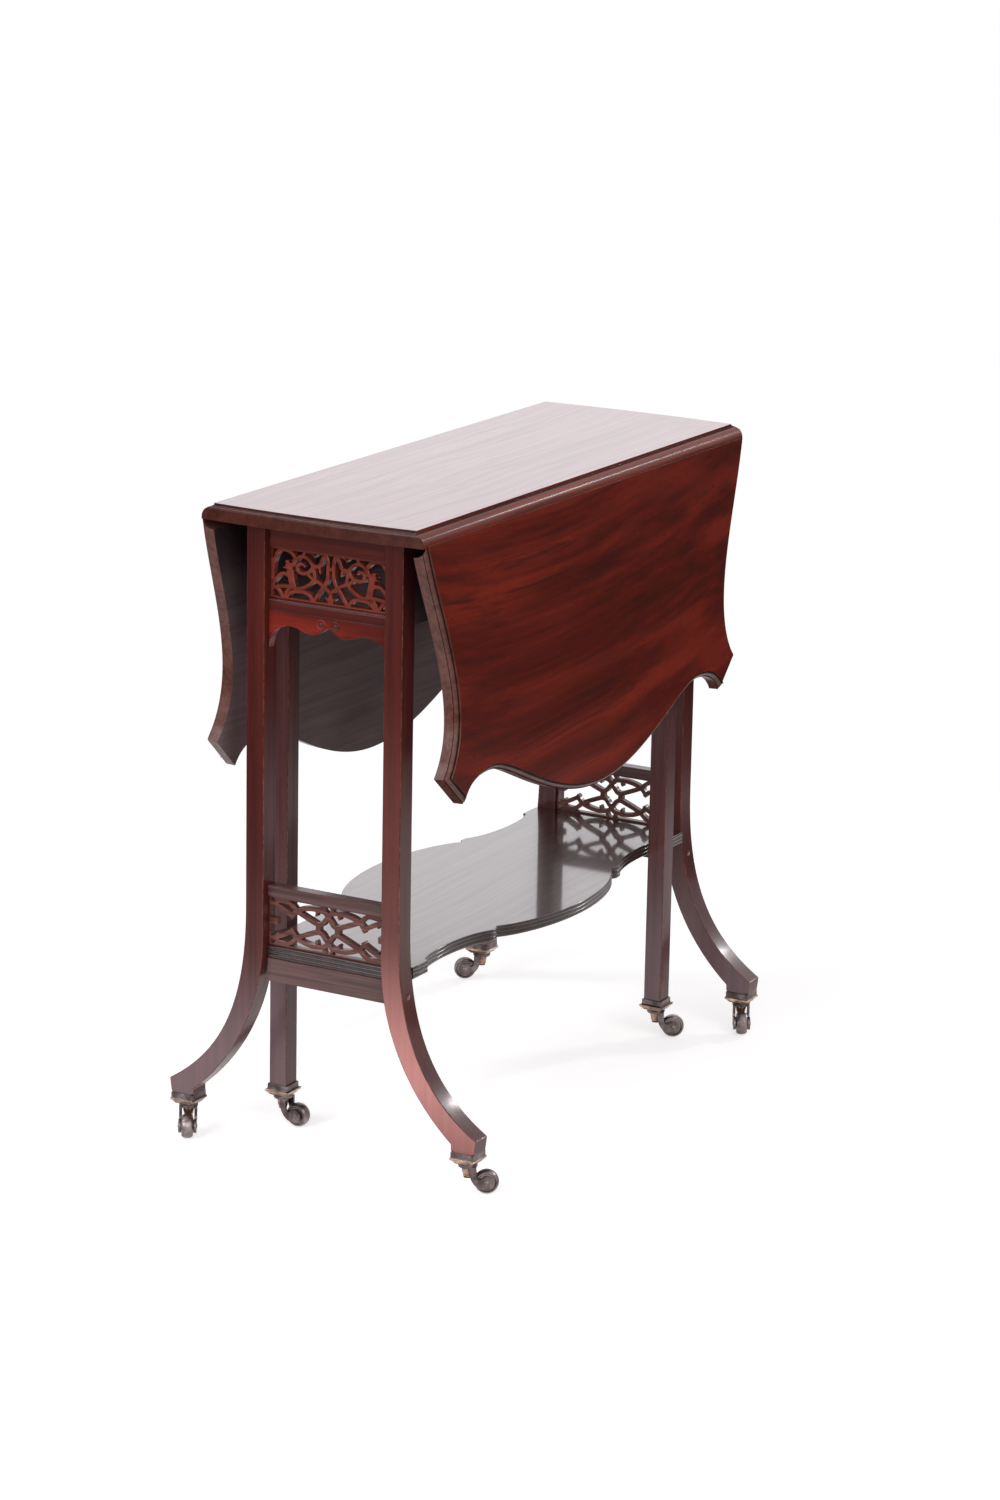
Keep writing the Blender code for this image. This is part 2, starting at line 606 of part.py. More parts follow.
def gallery_layout():
    """Strapwork of the gallery: a quarter of it from the panel's centre, as drawn in millimetres."""
    return [
        (GALLERY_STRAP, [(39, 15), (33, 11), (22, 5.2), (11.4, 0.8), (4.5, 8.5), (0, 14), (-4.5, 19),
                         (-17, 20.5), (-38, 17), (-39.5, 14)]),
        (GALLERY_STRAP, [(5.2, 19.5), (5, 23), (2.5, 26.5)]),
        (GALLERY_STRAP, [(14.5, 20.5), (13.5, 17), (14, 14.5)]),
        (GALLERY_STRAP, [(38, 14), (46, 21.5), (55, 24.2), (66, 25.5)]),
        (GALLERY_STRAP, [(39, 15.5), (45.3, 8), (51.6, 12.4), (59, 16), (66, 18.6), (72, 20)]),
        (GALLERY_STRAP, [(52, 23.5), (61, 22.5), (64, 19.5)]),
        (CLUB, [(43.4, 9.5), (46.8, 7)]),
    ]


def fitted(points, half_width, base, height):
    """Drawn millimetres stretched to a real panel, measured up from base."""
    across = half_width / FRET_DRAWN_HALF
    up = height / FRET_DRAWN_HEIGHT
    return [(y * across, base + z * up) for y, z in points]


def fret_mesh(name, low, high, straps):
    """A pierced panel: a plain border with every strap joined to it, trimmed to the panel."""
    back = LEG_OUTER_X - FRET_SETBACK - FRET_THICK
    face = LEG_OUTER_X - FRET_SETBACK
    panel = box(name, (back, -END_SPAN, low), (face, END_SPAN, high))
    window = box(name, (back - CUT_OVER, -END_SPAN + FRET_MARGIN, low + FRET_MARGIN),
                 (face + CUT_OVER, END_SPAN - FRET_MARGIN, high - FRET_MARGIN))
    border = combined(name, panel, [window], "DIFFERENCE")
    bm = bmesh.new()
    for width, points in straps:
        add_prism(bm, strap_outline(points, width, FRET_STEPS), "X", back, face)
    pierced = combined(name, border, [to_mesh(bm, name)], "UNION", overlapping=True)
    outside = box(name, (back - CUT_OVER, -END_SPAN, low), (face + CUT_OVER, END_SPAN, high))
    return tidied(combined(name, pierced, [outside], "INTERSECT"))


def tidied(mesh):
    """The same solid with its flat faces joined up."""
    bm = bmesh.new()
    bm.from_mesh(mesh)
    bmesh.ops.dissolve_limit(bm, angle_limit=FLAT_ANGLE, verts=bm.verts, edges=bm.edges)
    return to_mesh(bm, mesh.name)


def both_ways(straps):
    return straps + [(width, [(-y, z) for y, z in points]) for width, points in straps]


def frieze_fret(low, high):
    pendant = [(PENDANT, [(0, 15), (0, 8), (0, 0.5)]), (PENDANT_BULB, [(0, 8), (0, 2)])]
    straps = []
    for width, points in both_ways(frieze_layout()) + pendant:
        straps.append((width, fitted(points, END_SPAN, low, high - low)))
    return fret_mesh("frieze_fret", low, high, straps)


def gallery_fret(low, high):
    middle = (low + high) / 2
    upper = both_ways(gallery_layout())
    lower = [(width, [(y, -z) for y, z in points]) for width, points in upper]
    level = both_ways([(KNOT, [(9, 0), (14.5, 0)]), (SIDE_TAB, [(62, 0), (72, 0)])])
    straps = []
    for width, points in upper + lower + level:
        straps.append((width, fitted(points, END_SPAN, middle, high - low)))
    return fret_mesh("gallery_fret", low, high, straps)


# The undershelf

def shelf_outline():
    """Serpentine on both long sides, notched round the legs, straight across the ends."""
    notch = LEG_INNER_X - SEAT_GAP
    end = LEG_OUTER_X - SHELF_INSET
    shoulder = (LEG_OUTER_X - SHELF_SHOULDER_INSET, SHELF_SHOULDER)
    start = (shoulder[0] - SHELF_CUSP[0], shoulder[1] - SHELF_CUSP[1])
    tip = (SHELF_TIP_X, SHELF_SHOULDER + SHELF_TIP_RISE)
    lead = (tip[0] + SHELF_TIP_LEAD[0], tip[1] - SHELF_TIP_LEAD[1])
    nick = (tip[0] - SHELF_NICK[0], tip[1] - SHELF_NICK[1])
    middle = (0.0, SHELF_BULGE)
    side = [(end, END_SPAN), (notch, END_SPAN), (notch, shoulder[1]), shoulder, start]
    side += bezier(start, (start[0] - SHELF_HOLLOW_PULL[0], start[1] - SHELF_HOLLOW_PULL[1]),
                   (lead[0] + SHELF_HOLLOW_PUSH[0], lead[1] - SHELF_HOLLOW_PUSH[1]), lead, 5)
    side += [tip, nick]
    side += bezier(nick, (nick[0] - SHELF_BULGE_PULL[0], nick[1] + SHELF_BULGE_PULL[1]),
                   (SHELF_BULGE_PUSH, SHELF_BULGE), middle, 4)
    back = side + [(-x, y) for x, y in side[-2::-1]]
    return back + [(-x, -y) for x, y in back]


def shelf_mesh():
    pitch = SHELF_THICK / REEDS
    bottom = SHELF_TOP - SHELF_THICK
    levels = [(bottom, REED_DEPTH)]
    for reed in range(REEDS):
        start = bottom + reed * pitch
        levels += [(start + REED_SHOULDER * pitch, 0.0), (start + (1 - REED_SHOULDER) * pitch, 0.0),
                   (start + pitch, REED_DEPTH)]
    return moulded_board("undershelf", shelf_outline(), levels)


# The side rails and the swing legs

def finger_cuts(fingers, low, high):
    """Clearance cylinders for the other piece's fingers, about the knuckle pin."""
    pitch = (high - low) / KNUCKLE_FINGERS
    cuts = []
    for finger in fingers:
        start = low + finger * pitch - RUN_GAP / 2
        stop = low + (finger + 1) * pitch + RUN_GAP / 2
        start = low - CUT_OVER if finger == 0 else start
        stop = high + CUT_OVER if finger == KNUCKLE_FINGERS - 1 else stop
        cuts.append(rod("finger_cut", GATE_RAIL_THICK / 2 + RUN_GAP, "Z", start, stop, KNUCKLE_SIDES))
    return cuts


def pin_bore(low, high):
    sides = 12
    return rod("pin_bore", bore_radius(GATE_PIN_RADIUS, sides), "Z", low - CUT_OVER, high + CUT_OVER, sides)


def knuckle_block_mesh():
    """Fixed half of a wooden knuckle about its pin, screwed to the side rail."""
    half = GATE_RAIL_THICK / 2
    seat = GATE_PIVOT_Y - SIDE_RAIL_OUTER_Y - SEAT_GAP
    shoulder = -half - 2 * RUN_GAP
    outline = [(-KNUCKLE_BLOCK, -half)] + arc((0, 0), half, -90, 90, 6)
    outline += [(shoulder, half), (shoulder, seat), (-KNUCKLE_BLOCK, seat)]
    block = prism("knuckle_block", outline, "Z", GATE_RAIL_BOTTOM, GATE_TOP)
    moving = range(1, KNUCKLE_FINGERS, 2)
    tools = finger_cuts(moving, GATE_RAIL_BOTTOM, GATE_TOP) + [pin_bore(GATE_RAIL_BOTTOM, GATE_TOP)]
    return combined("knuckle_block", block, tools, "DIFFERENCE")


def gate_rail_mesh():
    """Swinging rail about the knuckle pin, up to the swing leg."""
    half = GATE_RAIL_THICK / 2
    end = GATE_RADIUS - GATE_LEG / 2 - SEAT_GAP
    outline = [(end, -half), (end, half)] + arc((0, 0), half, 90, 270, 6)
    rail = prism("gate_rail", outline, "Z", GATE_RAIL_BOTTOM, GATE_TOP)
    fixed = range(0, KNUCKLE_FINGERS, 2)
    tools = finger_cuts(fixed, GATE_RAIL_BOTTOM, GATE_TOP) + [pin_bore(GATE_RAIL_BOTTOM, GATE_TOP)]
    return combined("gate_rail", rail, tools, "DIFFERENCE")


def gate_leg_mesh():
    half = GATE_LEG / 2
    return box("gate_leg", (GATE_RADIUS - half, -GATE_LEG_SHIFT - half, CUP_FLOOR + SEAT_GAP),
               (GATE_RADIUS + half, -GATE_LEG_SHIFT + half, GATE_TOP))


# The castors

def cup_mesh(foot_half):
    """A square moulded socket for a foot of the given half width, with the pintle riveted below it."""
    pocket = CUP_RIM - foot_half - SEAT_GAP
    lip = pocket - CUP_WALL
    neck = CUP_RIM - CUP_NECK
    rim_top = CUP_RIM_HEIGHT + CUP_RIM_THICK
    square = [(CUP_RIM, -CUP_RIM), (CUP_RIM, CUP_RIM), (-CUP_RIM, CUP_RIM), (-CUP_RIM, -CUP_RIM)]
    levels = [(CUP_BOTTOM, neck), (CUP_BOTTOM + CUP_STEP, neck - CUP_WALL), (CUP_RIM_HEIGHT, 0.0),
              (rim_top, 0.0), (rim_top + CUP_STEP, lip), (CUP_TOP, lip), (CUP_TOP, pocket),
              (CUP_FLOOR, pocket)]
    cup = moulded_board("cup", square, levels)
    head_top = BOSS_BOTTOM - SEAT_GAP
    shank = rod("shank", PINTLE_RADIUS, "Z", head_top - PINTLE_HEAD / 2, CUP_BOTTOM + CUP_STEP, 10)
    head = rod("head", PINTLE_HEAD_RADIUS, "Z", head_top - PINTLE_HEAD, head_top, 10)
    return combined("cup", cup, [shank, head], "UNION")


def cheek_outline(top):
    """One cheek of a castor seen along its axle: from the cap plate down to an eye round the axle."""
    hub = (CASTOR_TRAIL, WHEEL_RADIUS)
    eye = arc(hub, CHEEK_EYE, 45, -115, 5)
    back = (-BOSS_RADIUS, top)
    front = (BOSS_RADIUS, top)
    return eye + bezier(eye[-1], CHEEK_BELLY, (-BOSS_RADIUS, WHEEL_RADIUS + CHEEK_EYE), back, 4) + [front]


def fork_mesh():
    """A castor's fork about its swivel axis: cap plate, bored boss, two curved cheeks and the axle."""
    cap_top = CUP_BOTTOM - SEAT_GAP
    cap_low = cap_top - CAP_THICK
    cap = rod("cap", CAP_RADIUS, "Z", cap_low, cap_top, 14)
    boss = rod("boss", BOSS_RADIUS, "Z", BOSS_BOTTOM, cap_low + CAP_THICK / 2, 10)
    start = WHEEL_WIDTH / 2 + RUN_GAP
    outline = cheek_outline(cap_low + CAP_THICK / 2)
    cheeks = []
    for low in (start, -start - CHEEK_THICK):
        cheeks.append(prism("cheek", outline, "Y", low, low + CHEEK_THICK))
    reach = start + CHEEK_THICK / 2
    axle = rod("axle", AXLE_RADIUS, "Y", -reach, reach, 8, (CASTOR_TRAIL, WHEEL_RADIUS))
    solid = combined("fork", cap, [boss] + cheeks + [axle], "UNION")
    sides = 10
    bore = rod("bore", bore_radius(PINTLE_RADIUS, sides), "Z", BOSS_BOTTOM - CUT_OVER, cap_top + CUT_OVER,
               sides)
    return combined("fork", solid, [bore], "DIFFERENCE")


def wheel_mesh():
    """A flat-sided wheel about its axle, with eased edges and a bore."""
    tread = WHEEL_RADIUS / math.cos(math.pi / WHEEL_SIDES)
    bore = bore_radius(AXLE_RADIUS, WHEEL_SIDES)
    half = WHEEL_WIDTH / 2
    profile = [(bore, -half), (tread - WHEEL_CHAMFER, -half), (tread, -half + WHEEL_CHAMFER),
               (tread, half - WHEEL_CHAMFER), (tread - WHEEL_CHAMFER, half), (bore, half)]
    return turned("wheel", profile, WHEEL_SIDES, "Y")


def clear_scene():
    for item in list(bpy.data.objects):
        bpy.data.objects.remove(item)


def build_top(top_finish, hinge_brass):
    place("top_board", top_board(), top_finish)
    leaf = leaf_mesh()
    strap = hinge_strap_mesh()
    plate = hinge_plate_mesh()
    for side, sign, turn in (("back", 1, 0.0), ("front", -1, math.pi)):
        line = (0, sign * HINGE_Y, PIN_Z)
        pin = empty(side + "_leaf_pin", line, (LEAF_LEAN - math.pi / 2, 0, turn))
        place(side + "_leaf", leaf, top_finish, pin)
        for label, x in hinge_places():
            hinge = side + "_" + label + "_hinge"
            place(hinge + "_strap", strap, hinge_brass, pin, (sign * x, 0, 0))
            place(hinge + "_plate", plate, hinge_brass, None, (x, line[1], PIN_Z), (0, 0, turn))


def build_ends(frame_finish, fret_finish):
    """Both end frames, the second half a turn from the first."""
    fret_top = FRAME_TOP - FRIEZE_RAIL
    lower_top = fret_top - FRIEZE_FRET
    apron_top = lower_top - FRIEZE_LOWER
    gallery_low = GALLERY_RAIL_TOP - GALLERY_RAIL
    shelf_seat = SHELF_TOP - SHELF_THICK - SEAT_GAP
    end_pieces = [
        ("frieze_top_rail", end_rail("frieze_top_rail", fret_top, FRAME_TOP), frame_finish),
        ("frieze_fret", frieze_fret(lower_top + SEAT_GAP, fret_top - SEAT_GAP), fret_finish),
        ("frieze_lower_rail", beaded_rail(apron_top, lower_top), frame_finish),
        ("apron", apron_mesh(apron_top - SEAT_GAP), frame_finish),
        ("gallery_rail", end_rail("gallery_rail", gallery_low, GALLERY_RAIL_TOP), frame_finish),
        ("gallery_fret", gallery_fret(SHELF_TOP + SEAT_GAP, gallery_low - SEAT_GAP), fret_finish),
        ("lower_rail", end_rail("lower_rail", shelf_seat - LOWER_RAIL, shelf_seat), frame_finish),
    ]
    legs = {"back": leg_mesh(1), "front": leg_mesh(-1)}
    opposite = {"back": "front", "front": "back"}
    for end, turn in (("right", 0.0), ("left", math.pi)):
        for label, mesh, material in end_pieces:
            place(end + "_" + label, mesh, material, None, (0, 0, 0), (0, 0, turn))
        for side in legs:
            mesh = legs[side] if end == "right" else legs[opposite[side]]
            place(side + "_" + end + "_leg", mesh, frame_finish, None, (0, 0, 0), (0, 0, turn))


def build_gates(inner_finish, frame_finish, hinge_brass):
    """Side rails with their knuckles and swing legs. Returns the pivots of the two gates."""
    reach = LEG_INNER_X - SEAT_GAP
    inner = SIDE_RAIL_OUTER_Y - SIDE_RAIL_THICK
    rail = box("side_rail", (-reach, inner, SIDE_RAIL_BOTTOM), (reach, SIDE_RAIL_OUTER_Y, FRAME_TOP))
    block = knuckle_block_mesh()
    gate_rail = gate_rail_mesh()
    gate_leg = gate_leg_mesh()
    pin = rod("knuckle_pin", GATE_PIN_RADIUS, "Z", GATE_RAIL_BOTTOM, GATE_TOP)
    pivots = {}
    for side, sign, turn in (("front", -1, 0.0), ("back", 1, math.pi)):
        spot = (sign * GATE_PIVOT_X, sign * GATE_PIVOT_Y, 0)
        place(side + "_side_rail", rail, inner_finish, None, (0, 0, 0), (0, 0, turn + math.pi))
        place(side + "_knuckle_block", block, inner_finish, None, spot, (0, 0, turn))
        place(side + "_knuckle_pin", pin, hinge_brass, None, spot)
        pivots[side] = empty(side + "_gate_pivot", spot, (0, 0, turn))
        place(side + "_gate_rail", gate_rail, inner_finish, pivots[side])
        place(side + "_gate_leg", gate_leg, frame_finish, pivots[side])
    return pivots


def build_castors(pivots, brass, wheel_finish):
    """A castor under each leg, turned the way it stands."""
    leg_cup = cup_mesh(LEG_DEPTH / 2)
    gate_cup = cup_mesh(GATE_LEG / 2)
    fork = fork_mesh()
    wheel = wheel_mesh()
    gate_foot = (GATE_RADIUS, -GATE_LEG_SHIFT, 0)
    feet = [
        ("front_left", None, (-LEG_MIDDLE_X, -FOOT_CENTRE_Y, 0), leg_cup, -60.0),
        ("front_right", None, (LEG_MIDDLE_X, -FOOT_CENTRE_Y, 0), leg_cup, -150.0),
        ("back_left", None, (-LEG_MIDDLE_X, FOOT_CENTRE_Y, 0), leg_cup, -150.0),
        ("back_right", None, (LEG_MIDDLE_X, FOOT_CENTRE_Y, 0), leg_cup, 120.0),
        ("front_gate", pivots["front"], gate_foot, gate_cup, -60.0),
        ("back_gate", pivots["back"], gate_foot, gate_cup, 90.0),
    ]
    for label, parent, foot, cup, heading in feet:
        place(label + "_castor_cup", cup, brass, parent, foot)
        swivel = empty(label + "_swivel", foot, (0, 0, math.radians(heading)), parent)
        place(label + "_castor_fork", fork, brass, swivel)
        place(label + "_castor_wheel", wheel, wheel_finish, swivel, (CASTOR_TRAIL, 0, WHEEL_RADIUS))


def build():
    clear_scene()
    top_finish = finish("mahogany_top", (0.105, 0.020, 0.014), 0.18, 0.0)
    frame_finish = finish("mahogany_frame", (0.085, 0.019, 0.015), 0.25, 0.0)
    fret_finish = finish("mahogany_fret", (0.120, 0.024, 0.016), 0.30, 0.0)
    inner_finish = finish("mahogany_inner", (0.030, 0.014, 0.012), 0.45, 0.0)
    brass = finish("patinated_brass", (0.160, 0.110, 0.065), 0.38, 1.0)
    hinge_brass = finish("hinge_brass", (0.300, 0.220, 0.110), 0.40, 1.0)
    wheel_finish = finish("wheel_metal", (0.110, 0.100, 0.095), 0.35, 1.0)
    build_top(top_finish, hinge_brass)
    build_ends(frame_finish, fret_finish)
    place("undershelf", shelf_mesh(), top_finish)
    pivots = build_gates(inner_finish, frame_finish, hinge_brass)
    build_castors(pivots, brass, wheel_finish)


build()
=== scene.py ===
import bmesh
import bpy
import json
import math
from mathutils import Matrix, Vector
from mathutils.kdtree import KDTree


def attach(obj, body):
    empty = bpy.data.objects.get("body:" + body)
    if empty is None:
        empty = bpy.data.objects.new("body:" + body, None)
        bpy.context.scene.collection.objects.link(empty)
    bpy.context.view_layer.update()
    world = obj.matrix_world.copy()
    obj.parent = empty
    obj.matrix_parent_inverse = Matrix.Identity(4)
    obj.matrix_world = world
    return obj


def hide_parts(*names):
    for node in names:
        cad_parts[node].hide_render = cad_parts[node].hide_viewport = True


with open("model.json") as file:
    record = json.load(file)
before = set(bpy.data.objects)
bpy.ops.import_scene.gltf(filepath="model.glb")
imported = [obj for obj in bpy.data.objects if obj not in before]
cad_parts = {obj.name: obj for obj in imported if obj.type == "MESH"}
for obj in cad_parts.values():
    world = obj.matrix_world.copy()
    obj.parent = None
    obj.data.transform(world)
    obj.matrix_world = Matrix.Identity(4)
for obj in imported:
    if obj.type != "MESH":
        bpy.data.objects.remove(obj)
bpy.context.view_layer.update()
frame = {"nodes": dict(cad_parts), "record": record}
bodyOf = {}
for bodyName, members in frame["record"]["behaviour"]["bodies"].items():
    for member in members:
        bodyOf[member] = bodyName
print("frame loaded,", len(bodyOf), "nodes")


# camera, matched to the corners of the top and the feet in the photograph

cameraSet = dict(azimuth=-60.65, elevation=14.97, roll=1.09, distance=4.7976, target=(0.0062, -0.021, 0.3831),
                 lens=156.9, sensor=36.0, far=50)


def setCamera(look):
    turn, lift, roll = (math.radians(look[key]) for key in ("azimuth", "elevation", "roll"))
    back = Vector((math.sin(turn) * math.cos(lift), -math.cos(turn) * math.cos(lift), math.sin(lift)))
    right = Vector((math.cos(turn), math.sin(turn), 0))
    up = back.cross(right)
    across = right * math.cos(roll) + up * math.sin(roll)
    upward = up * math.cos(roll) - right * math.sin(roll)
    bpy.ops.object.camera_add()
    camera = bpy.context.object
    camera.data.lens = look["lens"]
    camera.data.sensor_width = look["sensor"]
    camera.data.sensor_fit = "HORIZONTAL"
    camera.data.clip_end = look["far"]
    placed = Matrix((across, upward, back)).transposed().to_4x4()
    placed.translation = Vector(look["target"]) + back * look["distance"]
    camera.matrix_world = placed
    bpy.context.scene.camera = camera


setCamera(cameraSet)
print("camera set")


# small tools for modelling

mm = 0.001
quarter = math.pi / 2
sides = {"front": -1, "back": 1}
ends = {"left": -1, "right": 1}
endTurns = {"right": 0.0, "left": math.pi}


def clearSelection():
    if bpy.context.object and bpy.context.object.mode == "EDIT":
        bpy.ops.object.mode_set(mode="OBJECT")
    bpy.ops.object.select_all(action="DESELECT")


def pick(piece):
    clearSelection()
    piece.select_set(True)
    bpy.context.view_layer.objects.active = piece
    return piece


def openMesh(piece):  # into edit mode with all of it selected
    pick(piece)
    bpy.ops.object.mode_set(mode="EDIT")
    bpy.ops.mesh.select_all(action="SELECT")


def curvePoints(start, pull, push, end, steps):  # a cubic curve without its first point, handles from start and end
    points = []
    for step in range(1, steps + 1):
        t = step / steps
        s = 1 - t
        points.append(tuple(s ** 3 * a + 3 * s * s * t * (a + b) + 3 * s * t * t * (d + c) + t ** 3 * d
                            for a, b, c, d in zip(start, pull, push, end)))
    return points


def smoothPath(points, steps):  # a curve through given points
    path = []
    last = len(points) - 1
    for i in range(last):
        a, b, c, d = (Vector(points[k]) for k in (max(i - 1, 0), i, i + 1, min(i + 2, last)))
        for step in range(steps):
            t = step / steps
            path.append(0.5 * (2 * b + (c - a) * t + (2 * a - 5 * b + 4 * c - d) * t * t
                               + (3 * b - a - 3 * c + d) * t ** 3))
    path.append(Vector(points[last]))
    return path


def arcPoints(centre, radius, first, last, steps):  # angles in degrees
    turns = [math.radians(first + (last - first) * step / steps) for step in range(steps + 1)]
    return [(centre[0] + radius * math.cos(turn), centre[1] + radius * math.sin(turn)) for turn in turns]


def insetOutline(points, inset):  # an anticlockwise outline moved inwards, corners mitred
    moved = []
    for i, here in enumerate(points):
        here = Vector(here)
        into = (here - Vector(points[i - 1])).normalized()
        away = (Vector(points[(i + 1) % len(points)]) - here).normalized()
        leftInto = Vector((-into.y, into.x))
        leftAway = Vector((-away.y, away.x))
        moved.append(here + inset * (leftInto + leftAway) / (1 + leftInto.dot(leftAway)))
    return moved


def drawFace(points):  # a filled circle whose rim is moved to the outline
    clearSelection()
    bpy.ops.mesh.primitive_circle_add(vertices=len(points), radius=0.1, fill_type="NGON")
    piece = bpy.context.object
    for vertex, point in zip(piece.data.vertices, points):
        vertex.co = point
    return piece


def thicken(piece, along):  # extrude a drawn face
    openMesh(piece)
    bpy.ops.mesh.extrude_region_move(TRANSFORM_OT_translate={"value": along})
    bpy.ops.object.mode_set(mode="OBJECT")
    return piece


def raiseBoard(rings):  # rings of points with the same count, one extrusion from each to the next
    piece = drawFace(rings[0])
    openMesh(piece)
    for ring, above in zip(rings, rings[1:]):
        finder = KDTree(len(ring))
        for i, point in enumerate(ring):
            finder.insert(point, i)
        finder.balance()
        bpy.ops.mesh.extrude_region_move(TRANSFORM_OT_translate={"value": (0, 0, 0)})
        sheet = bmesh.from_edit_mesh(piece.data)
        for vertex in [v for v in sheet.verts if v.select]:
            vertex.co = above[finder.find(vertex.co)[1]]
        bmesh.update_edit_mesh(piece.data)
    bpy.ops.object.mode_set(mode="OBJECT")
    return piece


def boardRings(outline, levels):  # levels are (height, inset) from the underside up
    return [[Vector((*point, height)) for point in insetOutline(outline, inset)] for height, inset in levels]


def closeUp(piece, flatten=0):  # merge doubles, join flat faces and turn all faces outwards
    openMesh(piece)
    bpy.ops.mesh.remove_doubles(threshold=1e-6)
    bpy.ops.mesh.delete_loose()
    bpy.ops.mesh.select_all(action="SELECT")
    if flatten:
        bpy.ops.mesh.dissolve_limited(angle_limit=math.radians(flatten))
    bpy.ops.mesh.normals_make_consistent(inside=False)
    bpy.ops.object.mode_set(mode="OBJECT")
    return piece


def modify(piece, kind, **settings):
    pick(piece)
    modifier = piece.modifiers.new(kind.lower(), kind)
    for key, value in settings.items():
        setattr(modifier, key, value)
    bpy.ops.object.modifier_apply(modifier=modifier.name)
    return piece


def joinBoolean(piece, tools, operation="UNION", solver="MANIFOLD"):
    for tool in tools:
        modify(piece, "BOOLEAN", operation=operation, solver=solver, object=tool)
        bpy.data.objects.remove(tool)
    return piece


def settlePlace(piece, spot=(0, 0, 0), turn=(0, 0, 0)):  # put a place into the mesh
    pick(piece)
    piece.location = spot
    piece.rotation_euler = turn
    bpy.ops.object.transform_apply(location=True, rotation=True, scale=True)
    return piece


def addBox(low, high):
    clearSelection()
    bpy.ops.mesh.primitive_cube_add(size=1)
    block = bpy.context.object
    block.scale = [b - a for a, b in zip(low, high)]
    return settlePlace(block, [(a + b) / 2 for a, b in zip(low, high)])


def spinProfile(profile, steps):  # (radius, height) points turned about Z
    piece = drawFace([(r, 0, h) for r, h in profile])
    openMesh(piece)
    bpy.ops.mesh.delete(type="ONLY_FACE")
    bpy.ops.mesh.select_all(action="SELECT")
    bpy.ops.mesh.spin(steps=steps, angle=2 * math.pi, center=(0, 0, 0), axis=(0, 0, 1), use_auto_merge=True)
    return closeUp(piece)


def domeHead(d):  # a low turned head above the origin and its root below
    profile = [(0.0, -d["root"]), (d["radius"], -d["root"])]
    profile += [(d["radius"] * share, d["rise"] * level) for share, level in d["dome"]]
    return spinProfile(profile, d["steps"])


def copyPiece(piece, spot=(0, 0, 0), turn=(0, 0, 0)):
    twin = bpy.data.objects.new("copy", piece.data.copy())
    bpy.context.scene.collection.objects.link(twin)
    return settlePlace(twin, spot, turn)


def plainName(node):  # front_left_leg -> frontLeftLeg
    words = node.split("_")
    return words[0] + "".join(word.capitalize() for word in words[1:])


def ease(piece, width, angle=40):  # rounded arrises, which take the second finish
    return modify(piece, "BEVEL", width=width, segments=2, limit_method="ANGLE", angle_limit=math.radians(angle),
                  material=1)


def dress(piece, *finishes):
    piece.data.materials.clear()
    for finish in finishes:
        piece.data.materials.append(finish)
    return piece


def finishPiece(piece, slotName, *replaced, smooth=38):
    pick(piece).name = plainName(replaced[0])
    bpy.ops.object.shade_smooth_by_angle(angle=math.radians(smooth))
    modify(piece, "WEIGHTED_NORMAL", mode="FACE_AREA", keep_sharp=True)
    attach(piece, bodyOf[replaced[0]])
    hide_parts(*replaced)
    return piece


def fromSolid(node, *finishes):  # a CAD node's copy
    piece = copyPiece(frame["nodes"][node])
    bpy.ops.mesh.customdata_custom_splitnormals_clear()
    return dress(closeUp(piece, flatten=1), *finishes)


# materials

def toLinear(text):
    values = []
    for i in (1, 3, 5):
        share = int(text[i:i + 2], 16) / 255
        values.append(share / 12.92 if share <= 0.04045 else ((share + 0.055) / 1.055) ** 2.4)
    return (*values, 1)


def fillNode(node, values):  # a list fills the inputs in order; a socket is linked, any other value is set
    for key, value in values.items() if isinstance(values, dict) else enumerate(values):
        if key == "stops":
            places, colours = value
            while len(node.color_ramp.elements) < len(places):
                node.color_ramp.elements.new(0.5)
            for element, place, colour in zip(node.color_ramp.elements, places, colours):
                element.position = place
                element.color = colour if isinstance(colour, tuple) else toLinear(colour)
        elif isinstance(value, bpy.types.NodeSocket):
            node.id_data.links.new(value, node.inputs[key])
        elif isinstance(key, str) and hasattr(node, key):
            setattr(node, key, value)
        else:
            node.inputs[key].default_value = value
    return node


def nodeAdder(tree):
    def addNode(kind, values, output=0):  # the kind may name the operation or interpolation too
        kind, *options = kind.split()
        node = tree.nodes.new("ShaderNode" + kind)
        for option in options:
            setattr(node, "interpolation_type" if kind == "MapRange" else "operation", option)
        return fillNode(node, values).outputs[output]
    return addNode


def newMaterial(name):
    material = bpy.data.materials.new(name)
    material.use_nodes = True
    return material, nodeAdder(material.node_tree), material.node_tree.nodes["Principled BSDF"]


def grey(value):
    return (value, value, value, 1)


